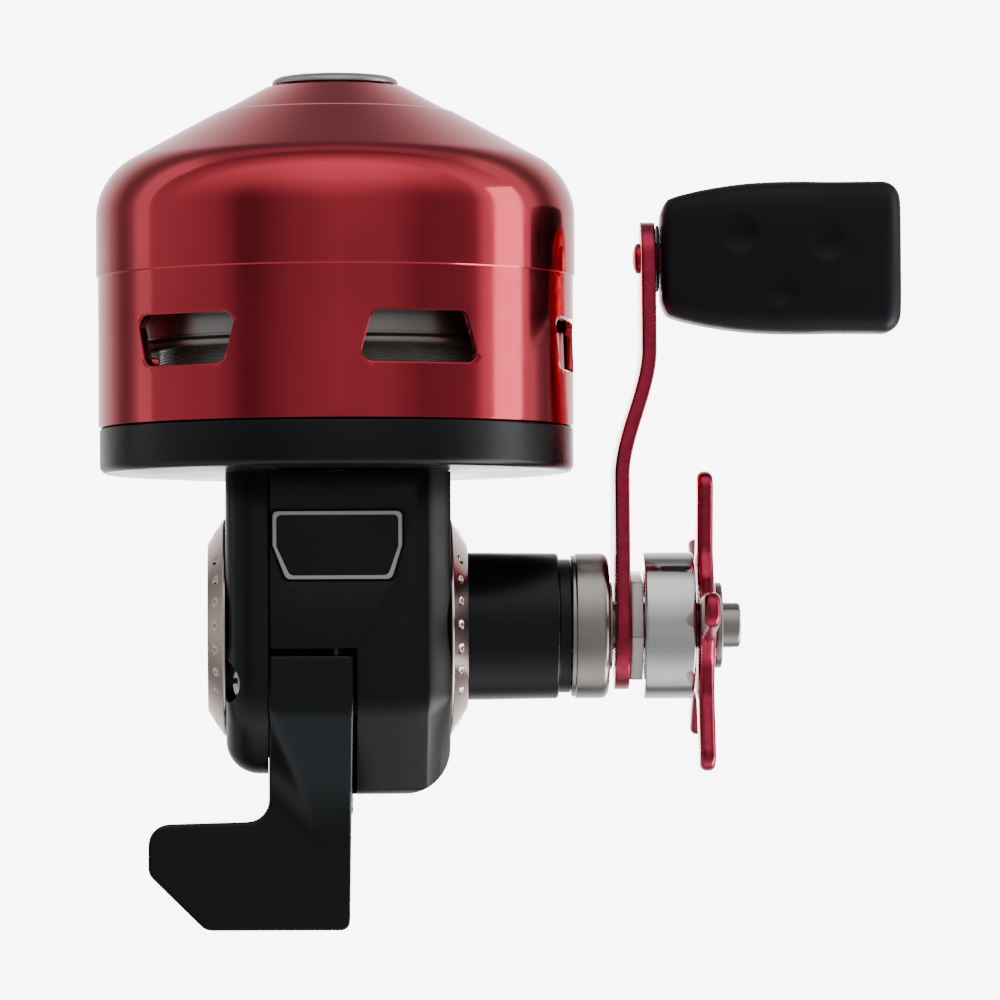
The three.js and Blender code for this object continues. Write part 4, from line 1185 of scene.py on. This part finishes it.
def build_floor():
    """A pale table below the reel whose emission paints a white pool of light under it, with a darker band
    of painted shade past the nose.
    """
    mesh = bpy.data.meshes.new("floor")
    corners = [(-1, -1), (1, -1), (1, 1), (-1, 1)]
    verts = [(FLOOR_HALF * x, FLOOR_HALF * y, FLOOR_Z) for x, y in corners]
    mesh.from_pydata(verts, [], [(0, 1, 2, 3)])
    floor = bpy.data.objects.new("floor", mesh)
    bpy.context.scene.collection.objects.link(floor)
    paper_with_painted_glow = shader("floor_paper_painted_glow", (0.25, 0.25, 0.25), 0.0, 0.9)
    tree = paper_with_painted_glow.node_tree
    where = add_node(tree, "TexCoord")
    distance = add_node(tree, "VectorMath")
    distance.operation = "DISTANCE"
    distance.inputs[1].default_value = (*PAINTED_POOL_CENTRE, FLOOR_Z)
    tree.links.new(where.outputs["Object"], distance.inputs[0])
    position = math_node(tree, "DIVIDE", distance.outputs["Value"], FLOOR_HALF)
    # Painted light: the floor's emission paints a bright pool under the reel that fades outwards.
    painted_glow = value_ramp(tree, position, [(metres / FLOOR_HALF, level / PAINTED_POOL_GLOW) for metres, level in PAINTED_LIGHT_POOL])
    outward = add_node(tree, "VectorMath")
    outward.operation = "NORMALIZE"
    tree.links.new(where.outputs["Object"], outward.inputs[0])
    direction = add_node(tree, "SeparateXYZ")
    tree.links.new(outward.outputs["Vector"], direction.inputs["Vector"])
    # Painted shade: the glow is cut to about a third towards the nose, a dark card painted into the floor's
    # emission.
    painted_card_shade = add_node(tree, "MapRange", From_Min=0.74, From_Max=0.88, To_Min=1.0, To_Max=0.35)
    painted_card_shade.interpolation_type = "SMOOTHSTEP"
    tree.links.new(direction.outputs["Y"], painted_card_shade.inputs["Value"])
    painted_glow = math_node(tree, "MULTIPLY", painted_glow, painted_card_shade.outputs["Result"])
    surface = tree.nodes["Principled BSDF"]
    # The floor glows though it is no lamp: this emission is painted light.
    surface.inputs["Emission Color"].default_value = (1, 1, 1, 1)
    tree.links.new(math_node(tree, "MULTIPLY", painted_glow, PAINTED_POOL_GLOW), surface.inputs["Emission Strength"])
    mesh.materials.append(paper_with_painted_glow)


def softbox(name, place, aim, size, power):
    data = bpy.data.lights.new(name, "AREA")
    data.shape = "RECTANGLE"
    data.size, data.size_y = size
    data.energy = power
    lamp = bpy.data.objects.new(name, data)
    lamp.location = place
    lamp.rotation_euler = (Vector(aim) - Vector(place)).to_track_quat("-Z", "Y").to_euler()
    bpy.context.scene.collection.objects.link(lamp)


def build_studio():
    build_surroundings()
    build_floor()
    target = (0.0, 0.02, AXIS_Z * MM)
    softbox("handle_side_softbox", (0.9, 0.02, 0.05), target, (0.9, 0.3), 1.5)
    softbox("rear_corner_softbox", (0.72, -0.55, -0.08), target, (0.6, 0.45), 4.5)


def build_camera():
    """Looks down on the reel's top from about a metre, a little from the rear and the left."""
    scene = bpy.context.scene
    aim = Vector((22.45, 10.86, AXIS_Z)) * MM
    distance = 0.965
    tilt, yaw, roll = math.radians(2.0), math.radians(1.9), math.radians(0.3)
    away = Vector((-math.sin(yaw), -math.sin(tilt), 1)).normalized()
    data = bpy.data.cameras.new("camera")
    data.sensor_width = 36
    data.lens = 252.216
    data.clip_start, data.clip_end = 0.05, 20
    camera = bpy.data.objects.new("camera", data)
    scene.collection.objects.link(camera)
    up = Vector((math.sin(roll), math.cos(roll), 0))
    right = up.cross(away).normalized()
    up = away.cross(right)
    turn = Matrix((right, up, away)).transposed().to_4x4()
    camera.matrix_world = Matrix.Translation(aim + away * distance) @ turn
    scene.camera = camera


build_camera()
build_cover()
build_nose_ring()
build_front_plate()
build_cup()
build_line()
build_housing()
build_left_cover()
build_nameplate()
for screw_name in ("top", "rear", "front"):
    slotted_screw(f"left_screw_{screw_name}", f"side_screw_{screw_name}", "x", LEFT_SCREW_HEAD_X)
for screw_name in ("front", "rear"):
    node_name = f"foot_screw_{screw_name}"
    slotted_screw(f"seat_screw_{screw_name}", node_name, "z", box_mm(node_name)[0].z)
build_trim_ring("right_ring", "right_trim_ring", 1)
build_trim_ring("left_ring", "left_trim_ring", -1)
build_crank_line()
build_crank_shaft()
build_hex_nut()
build_star()
build_arm()
build_rivet()
build_knob()
build_lever()
build_foot()
build_return_spring()
dress_cad_nodes()
build_studio()
